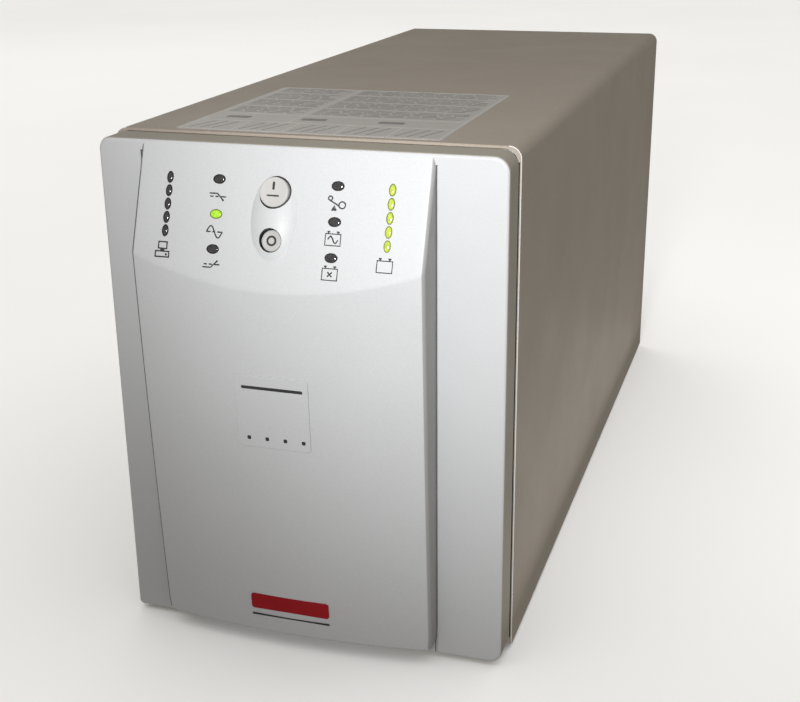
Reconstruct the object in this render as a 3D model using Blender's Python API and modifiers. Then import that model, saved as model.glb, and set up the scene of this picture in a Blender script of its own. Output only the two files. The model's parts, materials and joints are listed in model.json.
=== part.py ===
"""A tower uninterruptible power supply: a painted steel case on rubber feet, with a moulded plastic bezel.

Metres, +Z up. The front faces -Y, and the origin is the middle of the footprint, on the ground.
"""

import math

import bmesh
import bpy
from mathutils import Matrix, Vector

# Overall size
WIDTH = 0.170
DEPTH = 0.439
HEIGHT = 0.216
FRONT_Y = -DEPTH / 2
REAR_Y = DEPTH / 2

# Steel case
GAP = 0.0003
SHEET = 0.0012
COVER_SHEET = 0.0010
COVER_RADIUS = 0.0050
COVER_FRONT_Y = -0.1840
COVER_BOTTOM_Z = 0.0020
BASE_Z = 0.0030
BASE_TOP_Z = BASE_Z + SHEET
FLANGE_TOP_Z = 0.0230
BASE_HALF = WIDTH / 2 - COVER_SHEET - 0.0004
PLATE_HALF = BASE_HALF - SHEET - 0.0004
PLATE_BOTTOM_Z = BASE_TOP_Z + GAP
PLATE_TOP_Z = HEIGHT - COVER_SHEET - 0.0005
PLATE_RADIUS = 0.0030
BULKHEAD_Y = COVER_FRONT_Y + 0.0010
PANEL_FACE_Y = 0.2115
PANEL_BACK_Y = PANEL_FACE_Y - SHEET
SHELF_Z = 0.1165
SHELF_TOP_Z = SHELF_Z + SHEET
SHELF_BACK_Y = 0.1500
BAY_HALF = 0.0775
STOP_Y = 0.0300
BASE_SETBACK = 0.0005
BASE_BEND = 0.0016
TAB_INNER_X = 0.0725
TAB_HALF_HEIGHT = 0.0080
TAB_SHEET = 0.0010
TAB_SPACE = 0.0002
TAB_HOLE = 0.0021
VENT_START = (-0.1050, 0.0620)
VENT_PITCH = (0.0320, 0.0100)
VENT_COLUMNS = 3
VENT_ROWS = 9
VENT_SIZE = (0.0240, 0.0035)
WIRE_HOLE_Z = 0.1480
WIRE_HOLE = (0.0300, 0.0120, 0.0040)
POST_XS = (-0.0700, 0.0700)
POST_YS = (-0.1300, -0.0100, 0.1100)
POST_RADIUS = 0.0030
FOOT_XS = (-0.0660, 0.0660)
FOOT_YS = (-0.1550, 0.1850)
FOOT_RADIUS = 0.0100
FOOT_EDGE = 0.0007

# How far a cutter runs past the face that it cuts, and a joined piece into its neighbour
OVERCUT = 0.0020
ROOT = 0.0010
SMALL_EDGE = 0.0010

# Bezel
BEZEL_HALF = 0.0842
BEZEL_BOTTOM_Z = 0.0020
BEZEL_TOP_Z = 0.2149
BEZEL_BACK_Y = COVER_FRONT_Y - 0.0008
STRIP_Y = COVER_FRONT_Y - 0.0160
BEZEL_CORNER = 0.0060
BEZEL_EDGE = 0.0015
SKIN = 0.0025
RAISED_X = -0.0042
RAISED_HALF = 0.0605
RAISED_BOTTOM_Z = 0.0068
FACET_TOP_Z = 0.2136
FACET_SLOPE = 0.38
FACET_TILT = math.atan(FACET_SLOPE)
BELLY_RADIUS = 0.450
BELLY_LEAN = 0.026
BELLY_LONG_RADIUS = 3.85
GROOVE = 0.0007
GROOVE_DEPTH = 0.0015
BADGE = 0.0310
BADGE_X = -0.0058
BADGE_Z = 0.1117
BADGE_RISE = 0.0004
BADGE_ROOT = 0.0012
BADGE_CORNER = 0.0015
RAISED_EDGE = 0.0018
RAISED_ROOT = 0.0080
HOOK_X = 0.0740
HOOK_ZS = (0.1320, 0.2030)
HOOK_HALF_X = 0.0050
HOOK_HALF_Z = 0.0015
HOOK_REACH = 0.0050
HOOK_PLAY = 0.0006

# Display facet, in its own frame: x across, s down the slope from the top edge, h outwards
LAMP_PITCH = 0.00525
LAMP_TOP_S = 0.0131
METER_SPOTS = [LAMP_TOP_S + LAMP_PITCH * step for step in range(5)]
STATUS_SPOTS = [LAMP_TOP_S - 0.0003 + 0.0136 * step for step in range(3)]
METER_LAMP = (0.00145, 0.00240)
STATUS_LAMP = (0.00265, 0.00190)
# Each light pipe: its x, its lamps' s, a lamp's half width and half height, and the plate's thickness
LAMP_COLUMNS = {
    "light_pipe_load": (-0.0505, METER_SPOTS, METER_LAMP, 0.0024),
    "light_pipe_status_left": (-0.0295, STATUS_SPOTS, STATUS_LAMP, 0.0040),
    "light_pipe_status_right": (0.0193, STATUS_SPOTS, STATUS_LAMP, 0.0040),
    "light_pipe_battery": (0.0409, METER_SPOTS, METER_LAMP, 0.0024),
}
PILLOW_X = -0.0053
PILLOW_S = 0.0263
PILLOW_HALF_X = 0.0095
PILLOW_HALF_S = 0.0173
PILLOW_RISE = 0.0030
PILLOW_RINGS = 6
PAD_DEPTH = 0.0060
PAD_MARGIN = 0.0035
CAP_EDGE = 0.0005
BUTTON_FLANGE = 0.0014
FLANGE_SHEET = 0.0015
STEM_RADIUS = 0.0020
PIPE_MARGIN = 0.0030
PIPE_H = -0.0030
STUD_LENGTH = 0.0040
# Each button: its s, its radius, how far its stem reaches in, and its cap's h
BUTTONS = {
    "on_button": (0.01685, 0.00585, 0.0130, 0.0029),
    "off_button": (0.03520, 0.00420, 0.01996, 0.0004),
}
CIRCUIT_SHEET = 0.0016
BOARD_FACE_Y = -0.1885
DISPLAY_XS = (-0.0600, 0.0520)
DISPLAY_ZS = (0.1600, 0.2100)
DISPLAY_FOOT_INSET = (0.0050, 0.0040)
DISPLAY_FOOT_SIZE = 0.0050
LAMP_WIDTH = 0.0022
LAMP_HEIGHT = 0.0012
LAMP_MARGIN = 0.0015
SWITCH_SIZE = 0.0060
SWITCH_HEIGHT = 0.0030
SWITCH_DROP = 0.0010
LAMP_FACE_Y = BOARD_FACE_Y - LAMP_HEIGHT
PIPE_BACK_Y = LAMP_FACE_Y - 0.0005

# Battery pack
BATTERY_SIZE = (0.1510, 0.0975, 0.0940)
BATTERY_FRONT_Y = -0.1780
BATTERY_BOTTOM_Z = 0.0050
BATTERY_TOP_Z = BATTERY_BOTTOM_Z + BATTERY_SIZE[2]
BATTERY_EDGE = 0.0015
BATTERY_SPACE = 0.0005
TERMINAL_X = 0.0600
TERMINAL_INSET = 0.0140
TERMINAL_SIZE = (0.0064, 0.0120)
TERMINAL_TOP_Z = BATTERY_TOP_Z + 0.0050
STRAP_WIDTH = 0.0400
STRAP_SHEET = 0.0008
STRAP_BOTTOM_Z = 0.0200
STRAP_BACK_Y = 0.0150
PLUG_LOW = (0.0250, -0.1720)
PLUG_HIGH = (0.0500, -0.1340)
PLUG_HEIGHT = 0.0130
PLUG_EDGE = 0.0012
LINK_RADIUS = 0.0018
LINK_RISE = 0.0055
LINK_STEPS = 14

# Battery door
DOOR_SCREW_Z = 0.1205
DOOR_SCREW_XS = (-0.0550, 0.0550)
DOOR_SCREW_HOLE = 0.0019
DOOR_TOP_Z = 0.1240
DOOR_BOTTOM_Z = PLATE_BOTTOM_Z + 0.0005
DOOR_HALF = 0.0795
DOOR_CORNER = 0.0020
DOOR_Y = BULKHEAD_Y - GAP - SHEET

# Screws: head radius, head height, shank radius, length under the head
DOOR_SCREW = (0.0032, 0.0018, 0.0015, 0.0070)
COVER_SCREW = (0.0036, 0.0022, 0.0017, 0.0070)
THUMBSCREW = (0.0055, 0.0055, 0.0018, 0.0080)
EARTH_SCREW = (0.0042, 0.0026, 0.0020, 0.0080)

# Inside the case
CORE_Y = 0.0950
CORE_HALF_X = 0.0540
CORE_HALF_Y = 0.0300
CORE_BOTTOM_Z = 0.0050
CORE_HEIGHT = 0.0900
LEG = 0.0180
WINDING_PLAY = 0.0004
WINDING_CORNER = 0.0060
BRACKET_HALF_X = 0.0720
BRACKET_SHEET = 0.0015
BRACKET_WIDTH = 0.0300
BOARD_Z = 0.1280
BOARD_TOP_Z = BOARD_Z + CIRCUIT_SHEET
BOARD_HALF_X = 0.0780
BOARD_YS = (-0.1400, 0.1200)
SINK_WEB = (0.0500, 0.0540)
SINK_TIP = 0.0750
SINK_FINS = 6
SINK_PITCH = 0.0100
SINK_FIN = 0.0020
SINK_Y = 0.0400
SINK_LENGTH = 0.1000
CAPACITOR_SPOTS = ((-0.0320, -0.1100), (0.0, -0.1100), (0.0320, -0.1100), (0.0320, -0.0760))
CAPACITOR_RADIUS = 0.0125
CAPACITOR_HEIGHT = 0.0400
RELAY_XS = (-0.0300, -0.0020)
RELAY_YS = (-0.0900, -0.0600)
RELAY_DEPTH = 0.0120
RELAY_HEIGHT = 0.0200

# Rear panel
FAN_X = -0.0360
FAN_Z = 0.1250
FAN_SIZE = 0.0800
FAN_DEPTH = 0.0250
FAN_CORNER = 0.0040
FAN_BORE = 0.0380
FAN_HUB = 0.0190
FAN_Y = PANEL_BACK_Y - GAP - FAN_DEPTH
MOTOR_MOUNT = 0.0180
MOTOR_MOUNT_YS = (0.0040, 0.0002)
STRUT_HALF = 0.0020
STRUT_YS = (0.0036, 0.0006)
ROTOR_INSET = 0.0015
ROTOR_BACK = 0.0045
BLADES = 7
BLADE_HALF_CHORD = 0.0085
BLADE_HALF_SHEET = 0.0006
BLADE_PITCH = math.radians(38)
BLADE_ROOT = 0.0020
BLADE_PLAY = 0.0016
GRILLE_RINGS = ((0.0100, 0.0165, 3), (0.0190, 0.0255, 5), (0.0280, 0.0345, 5))
GRILLE_CORNER = 0.0060
GRILLE_SPOKE_HALF = 0.0020
GRILLE_SHEET = 0.0010
OUTLET_XS = (-0.0540, -0.0180, 0.0180, 0.0540)
OUTLET_ZS = (0.0260, 0.0560)
OUTLET_BARREL = (0.0270, 0.0200)
OUTLET_FLANGE = (0.0310, 0.0245, 0.0020)
OUTLET_FLANGE_HEIGHT = 0.0020
BARREL_LENGTH = 0.0240
BARREL_CORNER = 0.0017
GROOVE_OUTSIDE = (0.0246, 0.0172, 0.0050)
GROOVE_INSIDE = (0.0190, 0.0116, 0.0036)
OUTLET_DEPTH = 0.0140
CONTACT_X = 0.0070
CONTACT_SLOT = (0.0026, 0.0060)
OUTLET_CONTACTS = ((-CONTACT_X, -0.0012), (CONTACT_X, -0.0012), (0.0, 0.0018))
INLET_X = 0.0440
INLET_Z = 0.0980
INLET_FLANGE = (0.0500, 0.0240, 0.0040)
INLET_FLANGE_HEIGHT = 0.0025
INLET_RECESS = (0.0242, 0.0168, 0.0050)
INLET_DEPTH = 0.0170
INLET_SCREW_X = 0.0200
INLET_SCREW_HOLE = 0.0018
BLADE_SIZE = (0.0020, 0.0040)
INLET_BLADES = ((-CONTACT_X, 0.0022), (CONTACT_X, 0.0022), (0.0, 0.0048))
INLET_BLADE_YS = (0.0180, 0.0030)
SERIAL_X = 0.0400
SERIAL_Z = 0.1560
SERIAL_HOLE = (0.0200, 0.0110)
SERIAL_FLANGE = (0.0308, 0.0125, 0.0015)
SERIAL_SHELL = ((-0.0075, -0.0040), (0.0075, -0.0040), (0.0084, 0.0040), (-0.0084, 0.0040))
SERIAL_SHELL_LENGTH = 0.0056
SERIAL_BODY = (0.0095, 0.0050, 0.0130)
JACK_POST_X = 0.0125
JACK_POST_RADIUS = 0.0027
USB_X = 0.0680
USB_HALF = (0.0060, 0.0055)
USB_BODY = 0.0150
USB_MOUTH = (0.0085, 0.0078, 0.0015)
USB_TONGUE = (0.0056, 0.0032)
USB_DEPTH = 0.0100
BREAKER_X = 0.0600
BREAKER_Z = 0.1280
BREAKER_HALF = (0.0080, 0.0140)
BREAKER_BODY = 0.0300
BUSH_RADIUS = 0.0055
NUT_RADIUS = 0.0085
NUT_HEIGHT = 0.0025
PLUNGER_BORE = 0.0036
PLUNGER_RADIUS = 0.0032
PLUNGER_EDGE = 0.0006
PLUNGER_INSIDE = 0.0130
PLUNGER_OUTSIDE = 0.0030
PLUNGER_SPACE = 0.0010
GROUND_X = 0.0260
GROUND_HOLE = 0.0024
SLOT_Z = 0.1900
SLOT_HOLE = (0.1060, 0.0280, 0.0030)
SLOT_COVER = (0.1280, 0.0360, 0.0020)
SLOT_SCREW_X = 0.0580
SLOT_SCREW_HOLE = 0.0022
TAB_SCREW_X = 0.0770
TAB_SCREW_Z = 0.0760
OUTSIDE_Y = PANEL_FACE_Y + GAP

UPRIGHT = (math.pi / 2, 0.0, 0.0)
OUTWARDS = (-math.pi / 2, 0.0, 0.0)
SIDEWAYS = (math.pi / 2, 0.0, math.pi / 2)
LEVEL = (0.0, 0.0, 0.0)


# ---- scene, collections and materials ----


def clear_scene():
    for obj in list(bpy.data.objects):
        bpy.data.objects.remove(obj, do_unlink=True)


def new_collection(name):
    collection = bpy.data.collections.new(name)
    bpy.context.scene.collection.children.link(collection)
    return collection


def material(name, colour, roughness, metallic=0.0):
    mat = bpy.data.materials.new(name)
    mat.use_nodes = True
    shader = mat.node_tree.nodes["Principled BSDF"]
    shader.inputs["Base Color"].default_value = (*colour, 1.0)
    shader.inputs["Roughness"].default_value = roughness
    shader.inputs["Metallic"].default_value = metallic
    return mat


clear_scene()
PARTS = new_collection("uninterruptible_power_supply")
CUTTERS = new_collection("cutters")

COVER_PAINT = material("cover_paint", (0.50, 0.47, 0.42), 0.45)
BEZEL_PLASTIC = material("bezel_plastic", (0.63, 0.61, 0.57), 0.50)
ZINC_STEEL = material("zinc_steel", (0.55, 0.56, 0.57), 0.35, 1.0)
BRIGHT_STEEL = material("bright_steel", (0.70, 0.70, 0.70), 0.25, 1.0)
BLACK_PLASTIC = material("black_plastic", (0.02, 0.02, 0.02), 0.45)
SMOKED_LENS = material("smoked_lens", (0.03, 0.03, 0.03), 0.20)
GREEN_LENS = material("green_lens", (0.55, 0.75, 0.05), 0.25)
CIRCUIT_BOARD = material("circuit_board", (0.03, 0.20, 0.07), 0.50)
BATTERY_CASE = material("battery_case", (0.10, 0.10, 0.11), 0.50)
RUBBER = material("rubber", (0.03, 0.03, 0.03), 0.85)
COPPER_WINDING = material("copper_winding", (0.50, 0.20, 0.08), 0.40, 0.6)
CORE_STEEL = material("core_steel", (0.22, 0.22, 0.23), 0.50, 0.7)
ALUMINIUM = material("aluminium", (0.72, 0.72, 0.73), 0.35, 1.0)
STRAP_PLASTIC = material("strap_plastic", (0.85, 0.85, 0.82), 0.40)
PLUG_GREY = material("plug_grey", (0.35, 0.36, 0.38), 0.50)
RED_WIRE = material("red_wire", (0.60, 0.03, 0.02), 0.40)
CAPACITOR_SLEEVE = material("capacitor_sleeve", (0.03, 0.05, 0.12), 0.35)


# ---- modelling helpers ----


def add(name, mesh, mat=None, location=(0, 0, 0), rotation=LEVEL):
    """An object of the part or, with no material, a cutter."""
    obj = bpy.data.objects.new(name, mesh)
    if mat:
        PARTS.objects.link(obj)
        if not mesh.materials:
            mesh.materials.append(mat)
    else:
        CUTTERS.objects.link(obj)
        obj.hide_render = True
        obj.display_type = "WIRE"
    obj.location = location
    obj.rotation_euler = rotation
    return obj


def to_mesh(name, bm):
    mesh = bpy.data.meshes.new(name)
    bm.to_mesh(mesh)
    bm.free()
    return mesh


def smooth(obj):
    obj.data.shade_smooth()
    obj.data.set_sharp_from_angle(angle=math.radians(35))


def bevel(obj, width, segments=2):
    modifier = obj.modifiers.new("bevel", "BEVEL")
    modifier.width = width
    modifier.segments = segments
    modifier.limit_method = "ANGLE"
    modifier.angle_limit = math.radians(40)


def boolean(obj, operation, others):
    for other in others:
        modifier = obj.modifiers.new(other.name, "BOOLEAN")
        modifier.operation = operation
        modifier.object = other


def cut(obj, *others):
    boolean(obj, "DIFFERENCE", others)


def join(obj, *others):
    boolean(obj, "UNION", others)


def box(name, low, high, mat=None):
    size = [b - a for a, b in zip(low, high)]
    middle = [(a + b) / 2 for a, b in zip(low, high)]
    bm = bmesh.new()
    bmesh.ops.create_cube(bm, size=1.0, matrix=Matrix.Diagonal((*size, 1.0)))
    return add(name, to_mesh(name, bm), mat, middle)


def cylinder(name, radius, start, end, mat=None, segments=24):
    start = Vector(start)
    span = Vector(end) - start
    bm = bmesh.new()
    bmesh.ops.create_cone(
        bm, cap_ends=True, segments=segments, radius1=radius, radius2=radius, depth=span.length
    )
    turn = span.to_track_quat("Z", "Y").to_euler()
    obj = add(name, to_mesh(name, bm), mat, start + span / 2, turn)
    smooth(obj)
    return obj


def baked(obj):
    """The object's evaluated mesh, welded, and the object is removed."""
    bpy.context.view_layer.update()
    graph = bpy.context.evaluated_depsgraph_get()
    mesh = bpy.data.meshes.new_from_object(obj.evaluated_get(graph))
    bm = bmesh.new()
    bm.from_mesh(mesh)
    bmesh.ops.remove_doubles(bm, verts=bm.verts, dist=1e-6)
    bm.to_mesh(mesh)
    bm.free()
    bpy.data.objects.remove(obj, do_unlink=True)
    return mesh


def flat(name, loops, thickness, mat=None, location=(0, 0, 0), rotation=UPRIGHT):
    """Outlines and their holes, extruded evenly to both sides of their plane."""
    curve = bpy.data.curves.new(name, "CURVE")
    curve.dimensions = "2D"
    curve.fill_mode = "BOTH"
    curve.extrude = thickness / 2
    for loop in loops:
        spline = curve.splines.new("POLY")
        spline.points.add(len(loop) - 1)
        for point, (u, v) in zip(spline.points, loop):
            point.co = (u, v, 0.0, 1.0)
        spline.use_cyclic_u = True
    outline = bpy.data.objects.new(name + "_outline", curve)
    CUTTERS.objects.link(outline)
    return add(name, baked(outline), mat, location, rotation)


def turned(name, profile, mat, location, rotation, segments=20):
    """A profile of (radius, height) points, top to bottom, turned round its own Z axis."""
    bm = bmesh.new()
    points = [bm.verts.new((radius, 0.0, height)) for radius, height in profile]
    for first, second in zip(points, points[1:]):
        bm.edges.new((first, second))
    obj = add(name, to_mesh(name, bm), mat, location, rotation)
    screw = obj.modifiers.new("turn", "SCREW")
    screw.steps = segments
    screw.render_steps = segments
    screw.use_merge_vertices = True
    screw.merge_threshold = 0.00001
    screw.use_smooth_shade = False
    return obj


def arc(centre, radius, start, end, steps):
    """Points on an arc between two angles in degrees."""
    angles = [math.radians(start + (end - start) * step / steps) for step in range(steps + 1)]
    return [(centre[0] + radius * math.cos(a), centre[1] + radius * math.sin(a)) for a in angles]


def ring(centre, radius_u, radius_v=None, steps=16):
    radius_v = radius_v or radius_u
    angles = [2 * math.pi * step / steps for step in range(steps)]
    return [(centre[0] + radius_u * math.cos(a), centre[1] + radius_v * math.sin(a)) for a in angles]


def rounded(centre, width, height, radius, steps=3):
    """A rectangle with round corners."""
    points = []
    for turn, (side_u, side_v) in enumerate(((1, 1), (-1, 1), (-1, -1), (1, -1))):
        corner = (
            centre[0] + side_u * (width / 2 - radius),
            centre[1] + side_v * (height / 2 - radius),
        )
        points += arc(corner, radius, 90 * turn, 90 * turn + 90, steps)
    return points


def rectangle(centre, width, height):
    u, v = width / 2, height / 2
    return [(centre[0] + a * u, centre[1] + b * v) for a, b in ((-1, -1), (1, -1), (1, 1), (-1, 1))]


def upright_block(name, outlines, front_y, back_y, mat=None, at=(0, 0)):
    """Outlines in (x, z) about the point at, extruded from one y to another."""
    place = (at[0], (front_y + back_y) / 2, at[1])
    return flat(name, outlines, back_y - front_y, mat, place)


def bent_channel(half, open_edge, closed_edge, wall, radius, steps=4):
    """A sheet bent into a U, with round corners at its closed edge."""
    sign = 1 if closed_edge > open_edge else -1

    def skin(offset):
        side = half - radius
        end = closed_edge - sign * radius
        corners = [(-side, angle) for angle in (180, 90)] + [(side, angle) for angle in (90, 0)]
        points = [(-half + offset, open_edge)]
        for (across, start), (_, finish) in (corners[:2], corners[2:]):
            bend = arc((0, 0), radius - offset, start, finish, steps)
            points += [(across + u, end + sign * v) for u, v in bend]
        return points + [(half - offset, open_edge)]

    return skin(0) + skin(wall)[::-1]


# ---- steel case ----


def make_chassis_base():
    depth = PANEL_FACE_Y - COVER_FRONT_Y - BASE_SETBACK
    outline = bent_channel(BASE_HALF, FLANGE_TOP_Z, BASE_Z, SHEET, BASE_BEND, 2)
    flat("chassis_base", [outline], depth, ZINC_STEEL, (0, PANEL_FACE_Y - depth / 2, 0))


def make_outer_cover():
    depth = REAR_Y - COVER_FRONT_Y
    outline = bent_channel(WIDTH / 2, COVER_BOTTOM_Z, HEIGHT, COVER_SHEET, COVER_RADIUS)
    cover = flat("outer_cover", [outline], depth, COVER_PAINT, (0, REAR_Y - depth / 2, 0))
    for number, side in enumerate((-1, 1), 1):
        add_cover_tab(cover, number, side)
    place = (-WIDTH / 2, 0, 0)
    cut(cover, flat("vent_slots", vent_outlines(), 2 * OVERCUT, None, place, SIDEWAYS))


def add_cover_tab(cover, number, side):
    """A tab bent in from the cover's rear edge, with the hole for its screw."""
    low_y = OUTSIDE_Y + TAB_SPACE
    high_y = low_y + TAB_SHEET
    xs = sorted((side * (WIDTH / 2 - COVER_SHEET / 2), side * TAB_INNER_X))
    low = (xs[0], low_y, TAB_SCREW_Z - TAB_HALF_HEIGHT)
    high = (xs[1], high_y, TAB_SCREW_Z + TAB_HALF_HEIGHT)
    start = (side * TAB_SCREW_X, low_y - OVERCUT, TAB_SCREW_Z)
    end = (side * TAB_SCREW_X, high_y + OVERCUT, TAB_SCREW_Z)
    join(cover, box(f"cover_tab_{number}", low, high))
    cut(cover, cylinder(f"cover_tab_hole_{number}", TAB_HOLE, start, end, segments=12))


def vent_outlines():
    """The block of cooling slots low on the left wall, as (y, z) outlines."""
    slots = []
    for column in range(VENT_COLUMNS):
        for row in range(VENT_ROWS):
            middle = (VENT_START[0] + VENT_PITCH[0] * column, VENT_START[1] + VENT_PITCH[1] * row)
            slots.append(rectangle(middle, *VENT_SIZE))
    return slots


def plate_outline(*bottom_points):
    """An end plate that fits inside the cover: its upper corners are round, as the cover's bends are."""
    side, top = PLATE_HALF - PLATE_RADIUS, PLATE_TOP_Z - PLATE_RADIUS
    right = arc((side, top), PLATE_RADIUS, 0, 90, 3)
    left = arc((-side, top), PLATE_RADIUS, 90, 180, 3)
    return [(-PLATE_HALF, PLATE_BOTTOM_Z), *bottom_points, (PLATE_HALF, PLATE_BOTTOM_Z), *right, *left]


def make_front_bulkhead():
    outline = plate_outline(
        (-BAY_HALF, PLATE_BOTTOM_Z), (-BAY_HALF, SHELF_Z), (BAY_HALF, SHELF_Z), (BAY_HALF, PLATE_BOTTOM_Z)
    )
    slot = (2 * (HOOK_HALF_X + HOOK_PLAY), 2 * (HOOK_HALF_Z + HOOK_PLAY))
    slots = [rectangle((side * HOOK_X, z), *slot) for side in (-1, 1) for z in HOOK_ZS]
    holes = [ring((x, DOOR_SCREW_Z), DOOR_SCREW_HOLE, steps=12) for x in DOOR_SCREW_XS]
    wires = rounded((0.0, WIRE_HOLE_Z), *WIRE_HOLE)
    middle = (0, BULKHEAD_Y + SHEET / 2, 0)
    flat("front_bulkhead", [outline, wires, *slots, *holes], SHEET, ZINC_STEEL, middle)


def make_battery_shelf():
    """The shelf over the battery bay, with the wall that stops the pack and the board's posts."""
    low = (-PLATE_HALF, BULKHEAD_Y + SHEET + GAP, SHELF_Z)
    high = (PLATE_HALF, SHELF_BACK_Y, SHELF_TOP_Z)
    shelf = box("battery_shelf", low, high, ZINC_STEEL)
    low = (-PLATE_HALF + 0.0005, STOP_Y, PLATE_BOTTOM_Z)
    high = (PLATE_HALF - 0.0005, STOP_Y + SHEET, SHELF_Z + SHEET / 2)
    join(shelf, box("battery_stop", low, high))
    for x in POST_XS:
        for y in POST_YS:
            start, end = (x, y, SHELF_Z + SHEET / 2), (x, y, BOARD_Z - GAP)
            join(shelf, cylinder(f"board_post_{x}_{y}", POST_RADIUS, start, end, segments=8))


def make_feet():
    spots = [(x, y) for y in FOOT_YS for x in FOOT_XS]
    for number, (x, y) in enumerate(spots, 1):
        foot = cylinder(f"foot_{number}", FOOT_RADIUS, (x, y, 0), (x, y, BASE_Z - GAP), RUBBER)
        bevel(foot, FOOT_EDGE, 1)


def make_rear_panel():
    barrel = [size + 2 * GAP for size in OUTLET_BARREL]
    holes = [rounded((x, z), *barrel, BARREL_CORNER + GAP, 1) for x in OUTLET_XS for z in OUTLET_ZS]
    holes += [
        rounded((INLET_X, INLET_Z), *barrel, BARREL_CORNER + GAP, 1),
        ring((FAN_X, FAN_Z), FAN_BORE, steps=32),
        rectangle((SERIAL_X, SERIAL_Z), *SERIAL_HOLE),
        rectangle((USB_X, SERIAL_Z), *(2 * (half + GAP) for half in USB_HALF)),
        ring((BREAKER_X, BREAKER_Z), BUSH_RADIUS + GAP),
        ring((GROUND_X, BREAKER_Z), GROUND_HOLE, steps=12),
        rounded((0, SLOT_Z), *SLOT_HOLE),
    ]
    for side in (-1, 1):
        holes.append(ring((side * SLOT_SCREW_X, SLOT_Z), SLOT_SCREW_HOLE, steps=12))
        holes.append(ring((side * TAB_SCREW_X, TAB_SCREW_Z), TAB_HOLE, steps=12))
    middle = (0, PANEL_FACE_Y - SHEET / 2, 0)
    flat("rear_panel", [plate_outline(), *holes], SHEET, ZINC_STEEL, middle)


# ---- bezel ----


def crease(x):
    """Where the display facet meets the belly: (y, z) at this place across the bezel."""
    y = FRONT_Y + (x - RAISED_X) ** 2 / (2 * BELLY_RADIUS)
    return y, FACET_TOP_Z - (STRIP_Y - y) / FACET_SLOPE


def belly_y(x, z):
    y, crease_z = crease(x)
    drop = crease_z - z
    return y + BELLY_LEAN * drop + drop**2 / (2 * BELLY_LONG_RADIUS)


def raised_block(name, inset, back_y, top_z):
    """The raised middle of the bezel: a belly curved both ways under a flat, tilted display facet."""
    columns, rows = 10, 5
    bm = bmesh.new()
    bmesh.ops.create_grid(bm, x_segments=columns, y_segments=rows, size=0.5)
    half = RAISED_HALF - inset
    bottom_z = RAISED_BOTTOM_Z + inset
    for vert in bm.verts:
        x = RAISED_X + 2 * half * vert.co.x
        row = round((vert.co.y + 0.5) * rows)
        crease_y, crease_z = crease(x)
        if row == rows:
            vert.co = (x, STRIP_Y - FACET_SLOPE * (FACET_TOP_Z - top_z) + inset, top_z)
        elif row == rows - 1:
            vert.co = (x, crease_y + inset, crease_z)
        else:
            z = bottom_z + (crease_z - bottom_z) * row / (rows - 1)
            vert.co = (x, belly_y(x, z) + inset, z)
    back = bmesh.ops.extrude_face_region(bm, geom=bm.faces[:])["geom"]
    for vert in back:
        if isinstance(vert, bmesh.types.BMVert):
            vert.co.y = back_y
    bmesh.ops.recalc_face_normals(bm, faces=bm.faces)
    return add(name, to_mesh(name, bm))


def make_facet_frame():
    """An empty on the facet's top edge: local X across, -Y down the slope and Z outwards."""
    facet = bpy.data.objects.new("display_facet", None)
    PARTS.objects.link(facet)
    facet.location = (0, STRIP_Y, FACET_TOP_Z)
    facet.rotation_euler = (math.pi / 2 - FACET_TILT, 0, 0)
    return facet


def on_facet(obj):
    obj.parent = FACET
    return obj


def facet_point(s, h):
    """(y, z) of the point s down the facet and h out of it."""
    y = STRIP_Y - s * math.sin(FACET_TILT) - h * math.cos(FACET_TILT)
    return y, FACET_TOP_Z - s * math.cos(FACET_TILT) + h * math.sin(FACET_TILT)


def facet_block(name, x, s, size, h_low, h_high):
    """A box in the facet's frame."""
    low = (x - size[0] / 2, -s - size[1] / 2, h_low)
    high = (x + size[0] / 2, -s + size[1] / 2, h_high)
    return on_facet(box(name, low, high))


def make_bezel_tray():
    width, height = 2 * BEZEL_HALF, BEZEL_TOP_Z - BEZEL_BOTTOM_Z
    outline = rounded((0, (BEZEL_TOP_Z + BEZEL_BOTTOM_Z) / 2), width, height, BEZEL_CORNER, 4)
    depth = BEZEL_BACK_Y - STRIP_Y
    tray = flat("front_bezel", [outline], depth, BEZEL_PLASTIC, (0, STRIP_Y + depth / 2, 0))
    bevel(tray, BEZEL_EDGE)
    edges = (RAISED_X - RAISED_HALF, RAISED_X + RAISED_HALF)
    for number, (edge, side) in enumerate(zip(edges, (-1, 1)), 1):
        xs = sorted((edge + side * GROOVE, edge - side * GROOVE))
        low = (xs[0], STRIP_Y - OVERCUT, -OVERCUT)
        high = (xs[1], STRIP_Y + GROOVE_DEPTH, FACET_TOP_Z - 2 * RAISED_EDGE)
        cut(tray, box(f"groove_{number}", low, high))
    return tray


def make_bezel_cavity():
    low = (-BEZEL_HALF + SKIN, STRIP_Y + SKIN, BEZEL_BOTTOM_Z + SKIN)
    high = (BEZEL_HALF - SKIN, BEZEL_BACK_Y + OVERCUT, BEZEL_TOP_Z - SKIN)
    cavity = box("bezel_cavity", low, high)
    raised_top_z = BEZEL_TOP_Z - 1.6 * SKIN
    join(cavity, raised_block("raised_cavity", SKIN, BEZEL_BACK_Y + OVERCUT / 2, raised_top_z))
    pad_size = (2 * (PILLOW_HALF_X + PAD_MARGIN), 2 * (PILLOW_HALF_S + PAD_MARGIN))
    cut(cavity, facet_block("button_pad", PILLOW_X, PILLOW_S, pad_size, -PAD_DEPTH, OVERCUT))
    return cavity


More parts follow.
